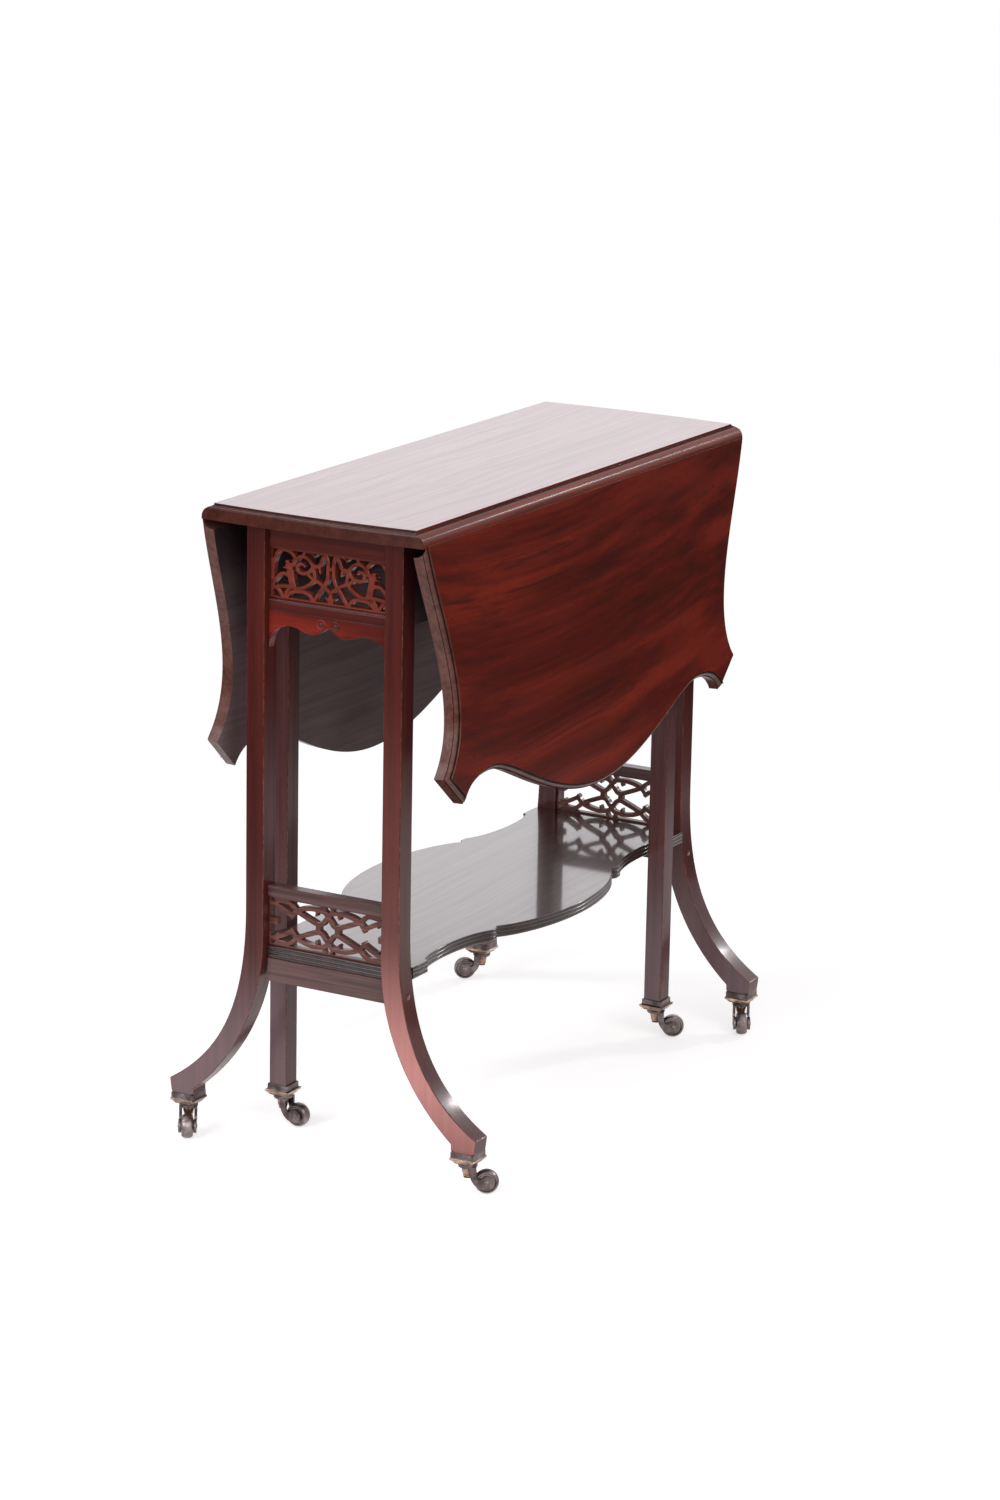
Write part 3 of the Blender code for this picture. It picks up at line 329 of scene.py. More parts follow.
def mahogany(name, base, **changes):
    # French-polished Cuban mahogany: long red-brown bands, darker growth lines, dark pores, a clear polish over all
    look = {**base, **changes}
    material, addNode, shader = newMaterial(name)
    place = addNode("TexCoord", {}, "Object")
    grain = addNode("Mapping", {"Rotation": look["turn"], "Location": look["shift"], "Vector": place})
    length = addNode("SeparateXYZ", {"Vector": grain}, "X")
    square = addNode("Math MULTIPLY", [length, length])
    bow = addNode("Math MULTIPLY", [square, -look["bow"]])
    sweep = addNode("CombineXYZ", {"Y": bow, "Z": bow})
    drift = addNode("TexNoise", {"Scale": 1 / (look["driftMm"] * mm), "Detail": 1.0, "Vector": grain}, "Color")
    wander = addNode("VectorMath MULTIPLY_ADD", [drift, (0, look["drift"], look["drift"]), sweep])
    bent = addNode("VectorMath ADD", [grain, wander])
    rise = addNode("SeparateXYZ", {"Vector": bent}, "Z")

    def stretched(size, detail, roughness):  # noise drawn out along the grain
        along, across = (1 / (side * mm) for side in size)
        scaled = addNode("Mapping", {"Scale": (along, across, across), "Vector": bent})
        return addNode("TexNoise", {"Scale": 1.0, "Detail": detail, "Roughness": roughness, "Vector": scaled}, "Fac")

    def tint(colour, share, tone):  # inputs of a mix: 0 the share, 6 and 7 the colours
        return addNode("Mix", {"data_type": "RGBA", 0: share, 6: colour, 7: toLinear(tone)}, 2)

    def darken(colour, noise, level, reach):  # down to a level where the noise is low
        veil = addNode("ValToRGB", {"stops": (reach, (grey(level), grey(1.0))), "Fac": noise})
        return addNode("Mix", {"data_type": "RGBA", "blend_type": "MULTIPLY", 0: 1.0, 6: colour, 7: veil}, 2)

    broad = stretched(look["broadMm"], detail=2.0, roughness=0.5)
    bands = stretched(look["bandMm"], detail=3.0, roughness=0.6)
    lines = stretched(look["lineMm"], detail=3.0, roughness=0.6)
    pores = stretched(look["poreMm"], detail=2.0, roughness=0.5)  # real ones are 0.2 mm wide, coarser here to show
    *tones, glowTone = look["tones"].split()
    colour = addNode("ValToRGB", {"stops": (look["toneReach"], tones), "Fac": bands})
    glow = addNode("ValToRGB", {"stops": (look["glowReach"], (grey(0.0), grey(look["glow"]))), "Fac": broad})
    colour = darken(tint(colour, glow, glowTone), broad, look["shade"], look["shadeReach"])

    def stroke(first, last, height, half, amount):  # a feathered streak at a height, from first to last along the board
        share = addNode("MapRange", [bands, *look["feather"]])
        span = (last - first) / 2
        middle = look["shift"][0] + first + span
        for value, centre, rim, core, most in ((rise, height, half * 2, 0.0, amount),
                                               (length, middle, span, span * look["core"], 1.0)):
            gap = addNode("Math SUBTRACT", [value, centre])
            gap = addNode("Math ABSOLUTE", [gap])
            near = addNode("MapRange SMOOTHSTEP", [gap, rim, core, 0.0, most])
            share = addNode("Math MULTIPLY", [share, near])
        return share

    for streak in look["streaks"]:
        colour = tint(colour, stroke(*streak), glowTone)
    # dark bands: dark figure on the leaves, the aprons' darker front ends and painted shade on the inside faces
    for smoke in look["smoke"]:
        colour = tint(colour, stroke(*smoke), look["soot"])
    colour = darken(colour, lines, 1.0 - look["line"], look["lineReach"])
    colour = darken(colour, pores, look["pore"], look["poreReach"])
    for start, full, amount, pale, foot in look["worn"]:  # painted sheen: the end faces made paler towards the feet, for the light they catch there
        height = addNode("SeparateXYZ", {"Vector": place}, "Z")
        facing = addNode("SeparateXYZ", {"Vector": addNode("TexCoord", {}, "Normal")}, "X")
        share = addNode("MapRange SMOOTHSTEP", [height, start, full, 0.0, amount])
        for value, reach, least in ((bands, look["bandReach"], look["patch"]), (height, look["toe"], foot),
                                    (facing, look["endFace"], 0.0)):
            share = addNode("Math MULTIPLY", [share, addNode("MapRange", [value, *reach, least])])
        colour = tint(colour, share, pale)
    gloss = addNode("MapRange", [bands, *look["bandReach"], *(look["rough"] + more for more in look["glossSpread"])])
    relief = addNode("Bump", {"Strength": look["bump"], "Distance": look["poreDepth"], "Height": pores})
    fillNode(shader, {"Base Color": colour, "Roughness": gloss, "Normal": relief, "IOR": look["ior"],
                      "Specular IOR Level": look["specular"], "Coat Weight": look["polish"],
                      "Coat Roughness": look["polishRough"], "Coat IOR": look["ior"]})
    return material


alongX = (0, 0, 0)
alongY = (0, 0, quarter)
alongZ = (0, quarter, 0)

# tones: dark, middle, light and glowing bands; streaks and dark bands: first, last, height, half width, amount
boardWood = dict(
    turn=alongX, shift=(0.12, 0, 0), bow=0.24, driftMm=300, drift=0.026, broadMm=(700, 30), bandMm=(460, 7),
    lineMm=(300, 1.5), poreMm=(30, 0.9), tones="#4D160E #601C13 #712418 #8E3020", toneReach=(0.34, 0.50, 0.66),
    glow=0.6, glowReach=(0.50, 0.66), shade=0.76, shadeReach=(0.33, 0.47), line=0.20, lineReach=(0.36, 0.58), pore=0.86,
    poreReach=(0.32, 0.45), bandReach=(0.3, 0.7), streaks=[], smoke=[], feather=(0.30, 0.55), core=0.3, soot="#4D160E",
    worn=[], patch=0.85, toe=(0.05, 0.11), endFace=(-0.5, -0.95), rough=0.30, glossSpread=(0.05, -0.03), bump=0.0,
    poreDepth=0.0004, ior=1.5, specular=0.2, polish=0.8, polishRough=0.12)
topWood = dict(boardWood, tones="#561A13 #621E16 #6C2219 #8E3020", glow=0.2, shade=0.96, bow=0.05, line=0.08,
               pore=0.95)
# the legs' end faces are painted paler towards the feet: painted sheen
legWood = dict(
    boardWood, turn=alongZ, shift=(0, 0, 0), bow=0.0, drift=0.006, driftMm=140, broadMm=(500, 16), bandMm=(260, 5),
    lineMm=(160, 1.4), poreMm=(22, 1.1), tones="#3E1716 #4A1C1A #55211D #642720", glow=0.35, shade=0.86,
    line=0.14, bump=0.03, polish=0.20, worn=[(0.24, 0.09, 0.62, "#88757A", 1.0)])
railWood = dict(legWood, turn=alongY, tones="#471A18 #53201C #5E261F #6E2C22", worn=[])
mouldWood = dict(railWood, turn=alongX, tones="#3E1D18 #48231D #532A23 #5E322A", polish=0.12, specular=0.15)

leafFinish = mahogany(
    "figuredMahoganyLeaf", boardWood,
    streaks=[(-0.30, 0.02, 0.658, 0.010, 0.75), (-0.40, -0.08, 0.622, 0.020, 0.60), (-0.33, 0.30, 0.452, 0.009, 0.65),
             (-0.25, 0.10, 0.405, 0.008, 0.55)],
    smoke=[(-0.30, 0.25, 0.432, 0.009, 0.45), (0.05, 0.36, 0.640, 0.012, 0.40), (-0.10, 0.10, 0.560, 0.020, 0.25)])
topFinish = mahogany("polishedMahoganyTop", topWood)
shelfFinish = mahogany("polishedMahoganyShelf", topWood, tones="#2C100E #351310 #3E1713 #4A1B16",
                       polish=1.0, polishRough=0.07)
legFinish = mahogany("mahoganyUpright", legWood)
# painted sheen: a pink highlight painted on this leg's end face, strongest partway down the sweep
sheenedLegFinish = mahogany("mahoganyUprightPaintedSheen", legWood, worn=[(0.56, 0.36, 0.11, "#CC8C87", 1.0),
                                                                (0.28, 0.12, 0.90, "#CC8C87", 0.45)])
gateFinish = mahogany("dullMahoganySwingLeg", legWood, tones="#4A2A2A #543131 #5F3838 #6A4140")
railFinish = mahogany("mahoganyRail", railWood)
# both aprons made darker towards their front ends
apronFinish = mahogany("redMahoganyApron", railWood, tones="#571712 #74221A #882B1E #A23826",
                       soot="#471814", smoke=[(-0.02, 0.18, 0.575, 0.030, 0.85)])
dullFinish = mahogany("fadedMahoganyRail", railWood, tones="#45302F #5A403E #6A4D4A #765650", polish=0.3)
# lighter and redder than the rails, partly painted light that the frieze fret catches
friezeFinish = mahogany("redMahoganyFret", railWood, tones="#5C241C #733026 #883C2F #9C4B3C")
galleryFinish = mahogany("brownMahoganyFret", railWood, tones="#4C2A26 #643A34 #774A42 #86564D")
# painted shade: the inside faces darkened round 0.68 high, just under the top board
innerFinish = mahogany("agedMahoganyInside", railWood, turn=alongX, tones="#70595A #756061 #796465 #7D6869",
                       polish=0.1, rough=0.48, line=0.07, pore=0.94, shade=0.94, feather=(0.0, 0.1), soot="#261C1D",
                       smoke=[(-0.9, 0.9, 0.68, 0.085, 1.0)])
mouldFinish = mahogany("mahoganyMoulding", mouldWood)
leafMouldFinish = mahogany("rubbedMahoganyMoulding", mouldWood, tones="#52302A #5F3932 #6B433B #785047")
jointFinish = mahogany("redMahoganyRuleJoint", mouldWood, tones="#5A2018 #6E2A1F #823628 #96422F",
                       polish=0.06, specular=0.1, rough=0.42, bump=0.0)
# near black in the quirks: partly old wax, partly painted shade in the recesses
quirkWaxAndShadeFinish = mahogany("darkWaxAndPaintedShadeInQuirks", mouldWood, tones="#120807 #1A0B09 #22100D #2A1512", polish=0.0,
                     rough=0.6)
reedFinish = mahogany("darkMahoganyReeds", mouldWood, tones="#241413 #2E1B19 #3A2422 #46302D", polish=0.8,
                      bump=0.0, line=0.05, pore=1.0)
# lighter on eased arrises and strap chamfers: partly rubbed wear, partly painted highlight
edgeFinish = mahogany("rubbedMahoganyEdgePaintedHighlight", railWood, tones="#3A1A16 #5A2C22 #744032 #8A5444",
                      bandMm=(30, 6), broadMm=(60, 20), polish=0.6)


metalSet = dict(toneReach=(0.34, 0.52, 0.70), glossReach=(0.35, 0.7), dulling=0.15, bump=0.05, gritDepth=0.0003)


def castMetal(name, patchMm, gritMm, rough, tones):
    # cast and turned metal, handled and never lacquered: brown tarnish in patches, bright where it rubs
    material, addNode, shader = newMaterial(name)
    place = addNode("TexCoord", {}, "Object")
    patches = addNode("TexNoise", {"Scale": 1 / (patchMm * mm), "Detail": 4.0, "Roughness": 0.6, "Vector": place},
                      "Fac")
    grit = addNode("TexNoise", {"Scale": 1 / (gritMm * mm), "Detail": 2.0, "Vector": place}, "Fac")
    tone = addNode("ValToRGB", {"stops": (metalSet["toneReach"], tones.split()), "Fac": patches})
    gloss = addNode("MapRange", [patches, *metalSet["glossReach"], rough + metalSet["dulling"], rough])
    relief = addNode("Bump", {"Strength": metalSet["bump"], "Distance": metalSet["gritDepth"], "Height": grit})
    fillNode(shader, {"Base Color": tone, "Roughness": gloss, "Normal": relief, "Metallic": 1.0})
    return material


# tones: dull tarnish, metal and rubbed metal
castorBrass = castMetal("brownCastorBrass", patchMm=12, gritMm=1.2, rough=0.22, tones="#68574E #A08672 #D4B69C")
castorBronze = castMetal("brownBronze", patchMm=14, gritMm=1.0, rough=0.28, tones="#463D3C #675C5B #8A7E7D")
castorCopper = castMetal("rubbedGunmetal", patchMm=5, gritMm=0.9, rough=0.28, tones="#6E5446 #A4836E #CBB09B")
wheelMetal = castMetal("wornWheelBronze", patchMm=12, gritMm=1.0, rough=0.27, tones="#564C4B #786D6C #978C8B")
hingeBrass = castMetal("dullHingeBrass", patchMm=14, gritMm=1.5, rough=0.36, tones="#5A4526 #94743C #B8955A")
print("materials made")


# top board and leaves, with the moulded free edges and the rule joints

boardSet = dict(
    under=0.688, thick=0.017, length=0.714, bow=0.005, bowSteps=48, hingeY=0.121, trim=0.016, ovolo=0.004,
    fillet=0.0018, shoulder=0.0012, quirk=0.0011, edgeSteps=6, jointRadius=0.012, jointSteps=16, jointFillet=0.003,
    pinLift=0.002, runGap=0.0005, over=0.004, arris=0.0004, arrisAngle=48, flatFace=0.95, jointFace=0.3)
leafSet = dict(
    depth=0.3245, corner=(0.328, 0.247), cant=(0.290, 0.281), peak=(0.235, 0.2572), sidePull=(-0.022, 0.085),
    sidePush=(-0.060, -0.062), hollowPull=(-0.010, -0.0185), hollowPush=(0.023, 0.0), peakPull=(-0.045, 0.0),
    bellyPush=(0.108, 0.0), sideSteps=36, hollowSteps=18, bellySteps=36, lean=math.radians(3))
hingeSet = dict(
    offset=0.200, length=0.060, strapLength=0.028, plate=0.0015, plateReach=0.031, strapReach=0.041, knuckle=0.0026,
    gap=0.0003, slot=0.0008, slotReach=0.004, slotFloor=0.00005, slotTop=0.001, slotTurns=(0.3, 0.7),
    screw=dict(radius=0.0031, root=0.0006, rise=0.0005, dome=[(1, 0.4), (0.8, 0.85), (0, 1)], steps=24),
    plateScrews=[(-0.022, 0.013), (0.022, 0.013), (-0.022, 0.025), (0.022, 0.025)],
    strapScrews=[(-0.008, 0.019), (0.008, 0.019), (0.0, 0.034)])


def edgeLevels(base, b):  # square band, quirk, quarter round, shoulder, fillet
    band = base + b["thick"] - b["ovolo"] - b["fillet"]
    levels = [(base, 0.0), (band, 0.0)]
    for step in range(b["edgeSteps"] + 1):
        turn = quarter * step / b["edgeSteps"]
        levels.append((band + b["ovolo"] * math.sin(turn), b["quirk"] + b["ovolo"] * (1 - math.cos(turn))))
    reach = b["quirk"] + b["ovolo"] + b["shoulder"]
    return levels + [(band + b["ovolo"], reach), (base + b["thick"], reach)]


def jointCutter(profile, half):  # a (y, z) profile run along the table
    cutter = drawFace([(-half, y, z) for y, z in profile])
    return closeUp(thicken(cutter, (2 * half, 0, 0)))


def dressBoard(piece, show, high, mould):  # show face, moulded edges, old wax and painted shade in their quirks, and raw underside
    dress(piece, show, edgeFinish, mould, innerFinish, quirkWaxAndShadeFinish)
    flat = boardSet["flatFace"]
    for face in piece.data.polygons:
        if face.normal.z > flat:
            face.material_index = 0 if face.center.z > high - mm / 10 else 4
        else:
            face.material_index = 3 if face.normal.z < -flat else 2
    return piece


def topBoard(b, h):
    reach = b["hingeY"] + b["jointRadius"] + b["trim"]
    rightEnd = []
    for step in range(b["bowSteps"] + 1):
        y = reach * (2 * step / b["bowSteps"] - 1)
        rightEnd.append((b["length"] / 2 + b["bow"] * (1 - (y / b["hingeY"]) ** 2), y))
    outline = rightEnd + [(-x, -y) for x, y in rightEnd]
    piece = closeUp(raiseBoard(boardRings(outline, edgeLevels(b["under"], b))))
    top = b["under"] + b["thick"]
    low, high, far = b["under"] - b["over"], top + b["over"], reach + b["over"]
    half = b["length"] / 2 + b["bow"] + b["over"]
    tools = []
    for sign in sides.values():
        profile = [(b["hingeY"], high)]
        profile += arcPoints((b["hingeY"], b["under"] + b["pinLift"]), b["jointRadius"], 90, 0, b["jointSteps"])
        profile += [(b["hingeY"] + b["jointRadius"], low), (far, low), (far, high)]
        tools.append(jointCutter([(sign * y, z) for y, z in profile], half))
        for x in (-h["offset"], h["offset"]):
            tools += hingeHousing(sign, x, b, h)
    joinBoolean(piece, tools, "DIFFERENCE", "EXACT")
    dressBoard(closeUp(piece), topFinish, top, mouldFinish)
    piece.data.materials.append(jointFinish)
    for face in piece.data.polygons:  # the rounds of the rule joints, rubbed by the leaves
        if face.material_index == 2 and abs(face.normal.y) > b["jointFace"]:
            face.material_index = 5
    ease(piece, b["arris"], b["arrisAngle"])
    return finishPiece(piece, "mahogany_top", "top_board")


def hingeHousing(sign, x, b, h):  # recesses under the top for both plates and the knuckles
    groove = h["knuckle"] + b["runGap"]
    plateTop = b["under"] + h["plate"] + h["gap"]
    half = h["length"] / 2 + h["gap"]
    strapHalf = h["strapLength"] / 2 + h["gap"]
    spans = [(half, -h["plateReach"] - h["gap"], 0.0, plateTop),
             (half, -groove, groove, b["under"] + b["pinLift"] + groove),
             (strapHalf, 0.0, b["jointRadius"] + b["over"], plateTop)]
    blocks = []
    for reach, near, far, high in spans:
        first, last = sorted((sign * (b["hingeY"] + near), sign * (b["hingeY"] + far)))
        blocks.append(addBox((x - reach, first, b["under"] - b["over"]), (x + reach, last, high)))
    return blocks


def leafBoard(b, s, h):  # about its pin, raised
    half = b["length"] / 2
    right = [(half, -b["trim"]), (half, 0.0)]
    right += curvePoints(right[-1], s["sidePull"], s["sidePush"], s["corner"], s["sideSteps"]) + [s["cant"]]
    right += curvePoints(s["cant"], s["hollowPull"], s["hollowPush"], s["peak"], s["hollowSteps"])
    right += curvePoints(s["peak"], s["peakPull"], s["bellyPush"], (0.0, s["depth"]), s["bellySteps"])
    outline = right + [(-x, y) for x, y in right[-2::-1]]
    piece = closeUp(raiseBoard(boardRings(outline, edgeLevels(-b["pinLift"], b))))
    cove = b["jointRadius"] + b["runGap"]
    above = b["jointRadius"] + b["jointFillet"] + b["over"]
    low, spare = -b["pinLift"] - b["over"], -b["trim"] - b["over"]
    first = math.degrees(math.acos(b["runGap"] / cove))
    profile = [(spare, low), (spare, above), (b["runGap"], above)]
    profile += arcPoints((0, 0), cove, first, 0, b["jointSteps"]) + [(cove, low)]
    tools = [jointCutter(profile, half + b["over"])]
    strapHalf = h["strapLength"] / 2 + h["gap"]
    for x in (-h["offset"], h["offset"]):
        tools.append(addBox((x - strapHalf, b["jointRadius"] - b["over"] / 4, low),
                            (x + strapHalf, h["strapReach"] + h["gap"], h["plate"] + h["gap"] - b["pinLift"])))
    joinBoolean(piece, tools, "DIFFERENCE", "EXACT")
    dressBoard(closeUp(piece), leafFinish, b["thick"] - b["pinLift"], leafMouldFinish)
    return ease(piece, b["arris"], b["arrisAngle"])


topBoard(boardSet, hingeSet)
pattern = leafBoard(boardSet, leafSet, hingeSet)
hang = leafSet["lean"] - quarter
leafTurns = {"back": 0.0, "front": math.pi}
pins = {side: (0, sides[side] * boardSet["hingeY"], boardSet["under"] + boardSet["pinLift"]) for side in leafTurns}
for side, turn in leafTurns.items():
    finishPiece(copyPiece(pattern, pins[side], (hang, 0, turn)), "mahogany_top", side + "_leaf")
bpy.data.objects.remove(pattern)
print("top and leaves made")


# hinges: the solids with their screws

def screwHead(h):  # a slotted head that looks up, its rim at the origin
    reach, half = h["slotReach"], h["slot"] / 2
    slot = addBox((-reach, -half, h["slotFloor"]), (reach, half, h["slotTop"]))
    return joinBoolean(domeHead(h["screw"]), [slot], "DIFFERENCE", "EXACT")


def hingeLeaf(node, screws, place):  # place puts a raised screw on the plate's bare side
    piece = fromSolid(node, hingeBrass)
    first, step = hingeSet["slotTurns"]
    for i, (x, y) in enumerate(screws):
        head = copyPiece(pattern, (x, y, -boardSet["pinLift"]), (math.pi, 0, step * i + first))
        head.data.transform(place)
        joinBoolean(piece, [closeUp(head)])
    return finishPiece(piece, "hinge_brass", node)


pattern = screwHead(hingeSet)
for side, turn in leafTurns.items():
    raised = Matrix.Translation(pins[side]) @ Matrix.Rotation(turn, 4, "Z")
    hanging = raised @ Matrix.Rotation(hang, 4, "X")
    for end, signX in ends.items():
        middle = sides[side] * signX * hingeSet["offset"]  # the back leaf's pattern is not turned, the front one's is
        hinge = side + "_" + end + "_hinge_"
        hingeLeaf(hinge + "plate", [(middle + x, -y) for x, y in hingeSet["plateScrews"]], raised)
        hingeLeaf(hinge + "strap", [(middle + x, y) for x, y in hingeSet["strapScrews"]], hanging)
bpy.data.objects.remove(pattern)
print("hinges made")


# legs: straight above, swept out to a square toe below

legSet = dict(
    innerX=0.306, outerX=0.330, innerY=0.0724, outerY=0.0942, top=0.6877, splayTop=0.270, splayPull=(0.0, -0.102),
    splayPush=(-0.069, 0.042), innerTop=0.240, heelPull=(-0.055, 0.046), heelPush=(0.0, -0.073), steps=40, footY=0.1742,
    footWidth=0.0285, toe=0.062, toeLean=0.002, heel=0.054, seat=0.0468, tenon=0.012, floor=0.0415, arris=0.0009,
    plugZ=0.2025, plug=dict(radius=0.0034, root=0.004, rise=0.0005, dome=[(1, 0.4), (0.7, 1), (0, 1)], steps=24))


def legOutline(s):
    foot, seat, floor = s["footY"], s["seat"], s["floor"]
    toe, heel = foot + s["footWidth"] / 2, foot - s["footWidth"] / 2
    points = [(s["innerY"], s["top"]), (s["outerY"], s["top"]), (s["outerY"], s["splayTop"])]
    points += curvePoints(points[-1], s["splayPull"], s["splayPush"], (toe + s["toeLean"], s["toe"]), s["steps"])
    points += [(toe, seat), (foot + s["tenon"], seat), (foot + s["tenon"], floor), (foot - s["tenon"], floor),
               (foot - s["tenon"], seat), (heel, seat), (heel, s["heel"])]
    return points + curvePoints(points[-1], s["heelPull"], s["heelPush"], (s["innerY"], s["innerTop"]), s["steps"])


def legPlug(s, outline, signX, signY):  # the end of the dowel that pins the lower rail, through the outside of the leg
    sweep = [p for p in outline if p[0] >= s["outerY"] and p[1] <= s["splayTop"]]
    y, z = min(sweep, key=lambda p: abs(p[1] - s["plugZ"]))
    spot = (signX * (s["innerX"] + s["outerX"]) / 2, signY * y, z)
    return settlePlace(domeHead(s["plug"]), spot, (-signY * quarter, 0, 0))


outline = legOutline(legSet)
for side, signY in sides.items():
    for end, signX in ends.items():
        leg = drawFace([(signX * legSet["innerX"], signY * y, z) for y, z in outline])
        thicken(leg, (signX * (legSet["outerX"] - legSet["innerX"]), 0, 0))
        # the front left leg takes the painted pink sheen on its end face
        wood = sheenedLegFinish if (side, end) == ("front", "left") else legFinish
        ease(dress(closeUp(leg), wood, edgeFinish), legSet["arris"])
        joinBoolean(leg, [dress(legPlug(legSet, outline, signX, signY), edgeFinish)])
        finishPiece(leg, "mahogany_frame", side + "_" + end + "_leg")
print("legs made")


# rails and swing legs: the solids with their arrises eased

arrisSet = dict(rail=0.0006, inner=0.0005, leg=0.0009, pin=0.0003)
endRails = {"frieze_top_rail": railFinish, "frieze_lower_rail": railFinish, "gallery_rail": dullFinish,
            "lower_rail": dullFinish}


def easeSolid(node, width, slotName, *finishes):
    finishPiece(ease(fromSolid(node, *finishes), width), slotName, node)


for end in ends:
    for part, wood in endRails.items():
        easeSolid(end + "_" + part, arrisSet["rail"], "mahogany_frame", wood, edgeFinish)
for side in sides:
    for part in ("side_rail", "knuckle_block", "gate_rail"):
        easeSolid(side + "_" + part, arrisSet["inner"], "mahogany_inner", innerFinish, innerFinish)
    easeSolid(side + "_gate_leg", arrisSet["leg"], "mahogany_frame", gateFinish, edgeFinish)
    easeSolid(side + "_knuckle_pin", arrisSet["pin"], "hinge_brass", hingeBrass, hingeBrass)
print("rails and swing legs eased")


# aprons under the frieze: cut to a double curve, with a pair of carved roundels

apronSet = dict(
    top=0.5927, face=0.322, thick=0.011, span=0.0721, tip=0.040, arris=0.0006,
    curves=[((-0.00185, 0.015725), (0.0111, -0.000925), (0.0536, 0.0156), 20),  # pull, push, end as y and drop, steps
            ((-0.0016, 0.0016), (0.0016, 0.0), (0.047, 0.014), 8), ((-0.014, 0.0), (0.014, 0.0), (0.019, 0.0195), 20),
            ((-0.0095, 0.0), (0.0063333, -0.0016), (0.0, 0.011), 16)],
    roundel=(0.0085, 0.0073), ring=0.0047, wire=0.0009, ringSteps=48, wireSteps=12,
    button=dict(radius=0.0025, root=0.003, rise=0.0009, dome=[(1, 0), (0.85, 0.6), (0.45, 1), (0, 1.1)], steps=28),
    scroll=[(3.6, -9.6), (5.2, -13.0), (9.5, -15.6), (15.0, -17.2), (21.0, -17.3), (29.0, -15.2)],
    scrollWidths=(0.9, 0.45), scrollLook=dict(back=0.320, face=0.3225, chamfer=0.0003, least=0.0002, steps=8))


def apronHalf(s):
    points = [(s["span"], s["top"] - s["tip"])]
    for pull, push, (y, drop), steps in s["curves"]:
        points += curvePoints(points[-1], pull, push, (y, s["top"] - drop), steps)
    return points


def roundel(s, sign):  # a ring with a button in it, standing on the apron's face
    spot, outwards = (s["face"], sign * s["roundel"][0], s["top"] - s["roundel"][1]), (0, quarter, 0)
    clearSelection()
    bpy.ops.mesh.primitive_torus_add(major_radius=s["ring"], minor_radius=s["wire"], major_segments=s["ringSteps"],
                                     minor_segments=s["wireSteps"])
    ring = settlePlace(bpy.context.object, spot, outwards)
    return [ring, settlePlace(domeHead(s["button"]), spot, outwards)]


def apronPiece(s):
    half = apronHalf(s)
    outline = [(s["span"], s["top"])] + half + [(-y, z) for y, z in half[-2::-1]] + [(-s["span"], s["top"])]
    piece = drawFace([(s["face"] - s["thick"], y, z) for y, z in outline])
    thicken(piece, (s["thick"], 0, 0))
    ease(dress(closeUp(piece), apronFinish, edgeFinish), s["arris"])
    for sign in (-1, 1):
        line = [(sign * y, z) for y, z in s["scroll"]]
        tools = roundel(s, sign) + [strapPiece(s["scrollWidths"], line, s["top"], 1.0, s["scrollLook"])]
        joinBoolean(piece, [dress(tool, mouldFinish) for tool in tools])
    return piece


def strapPiece(widths, points, base, up, s):  # a flat strap with chamfered front, drawn in mm from base, out along X
    path = smoothPath([(y * mm, base + z * up * mm) for y, z in points], s["steps"])
    last = len(path) - 1
    rings = []
    for x, inset in ((s["back"], 0.0), (s["face"] - s["chamfer"], 0.0), (s["face"], s["chamfer"])):
        left, right = [], []
        for i, here in enumerate(path):
            along = (path[min(i + 1, last)] - path[max(i - 1, 0)]).normalized()
            width = widths[0] + (widths[1] - widths[0]) * i / last
            aside = Vector((-along.y, along.x)) * max(width * mm / 2 - inset, s["least"])
            left.append(Vector((x, *(here + aside))))
            right.append(Vector((x, *(here - aside))))
        rings.append(left + right[::-1])
    return closeUp(raiseBoard(rings))


pattern = apronPiece(apronSet)
for end, turn in endTurns.items():
    finishPiece(copyPiece(pattern, turn=(0, 0, turn)), "mahogany_frame", end + "_apron")
bpy.data.objects.remove(pattern)
print("aprons made")


# fretwork, drawn in mm on a panel 144.2 wide and 54 high: (first width, last width, path of y,z), one half only

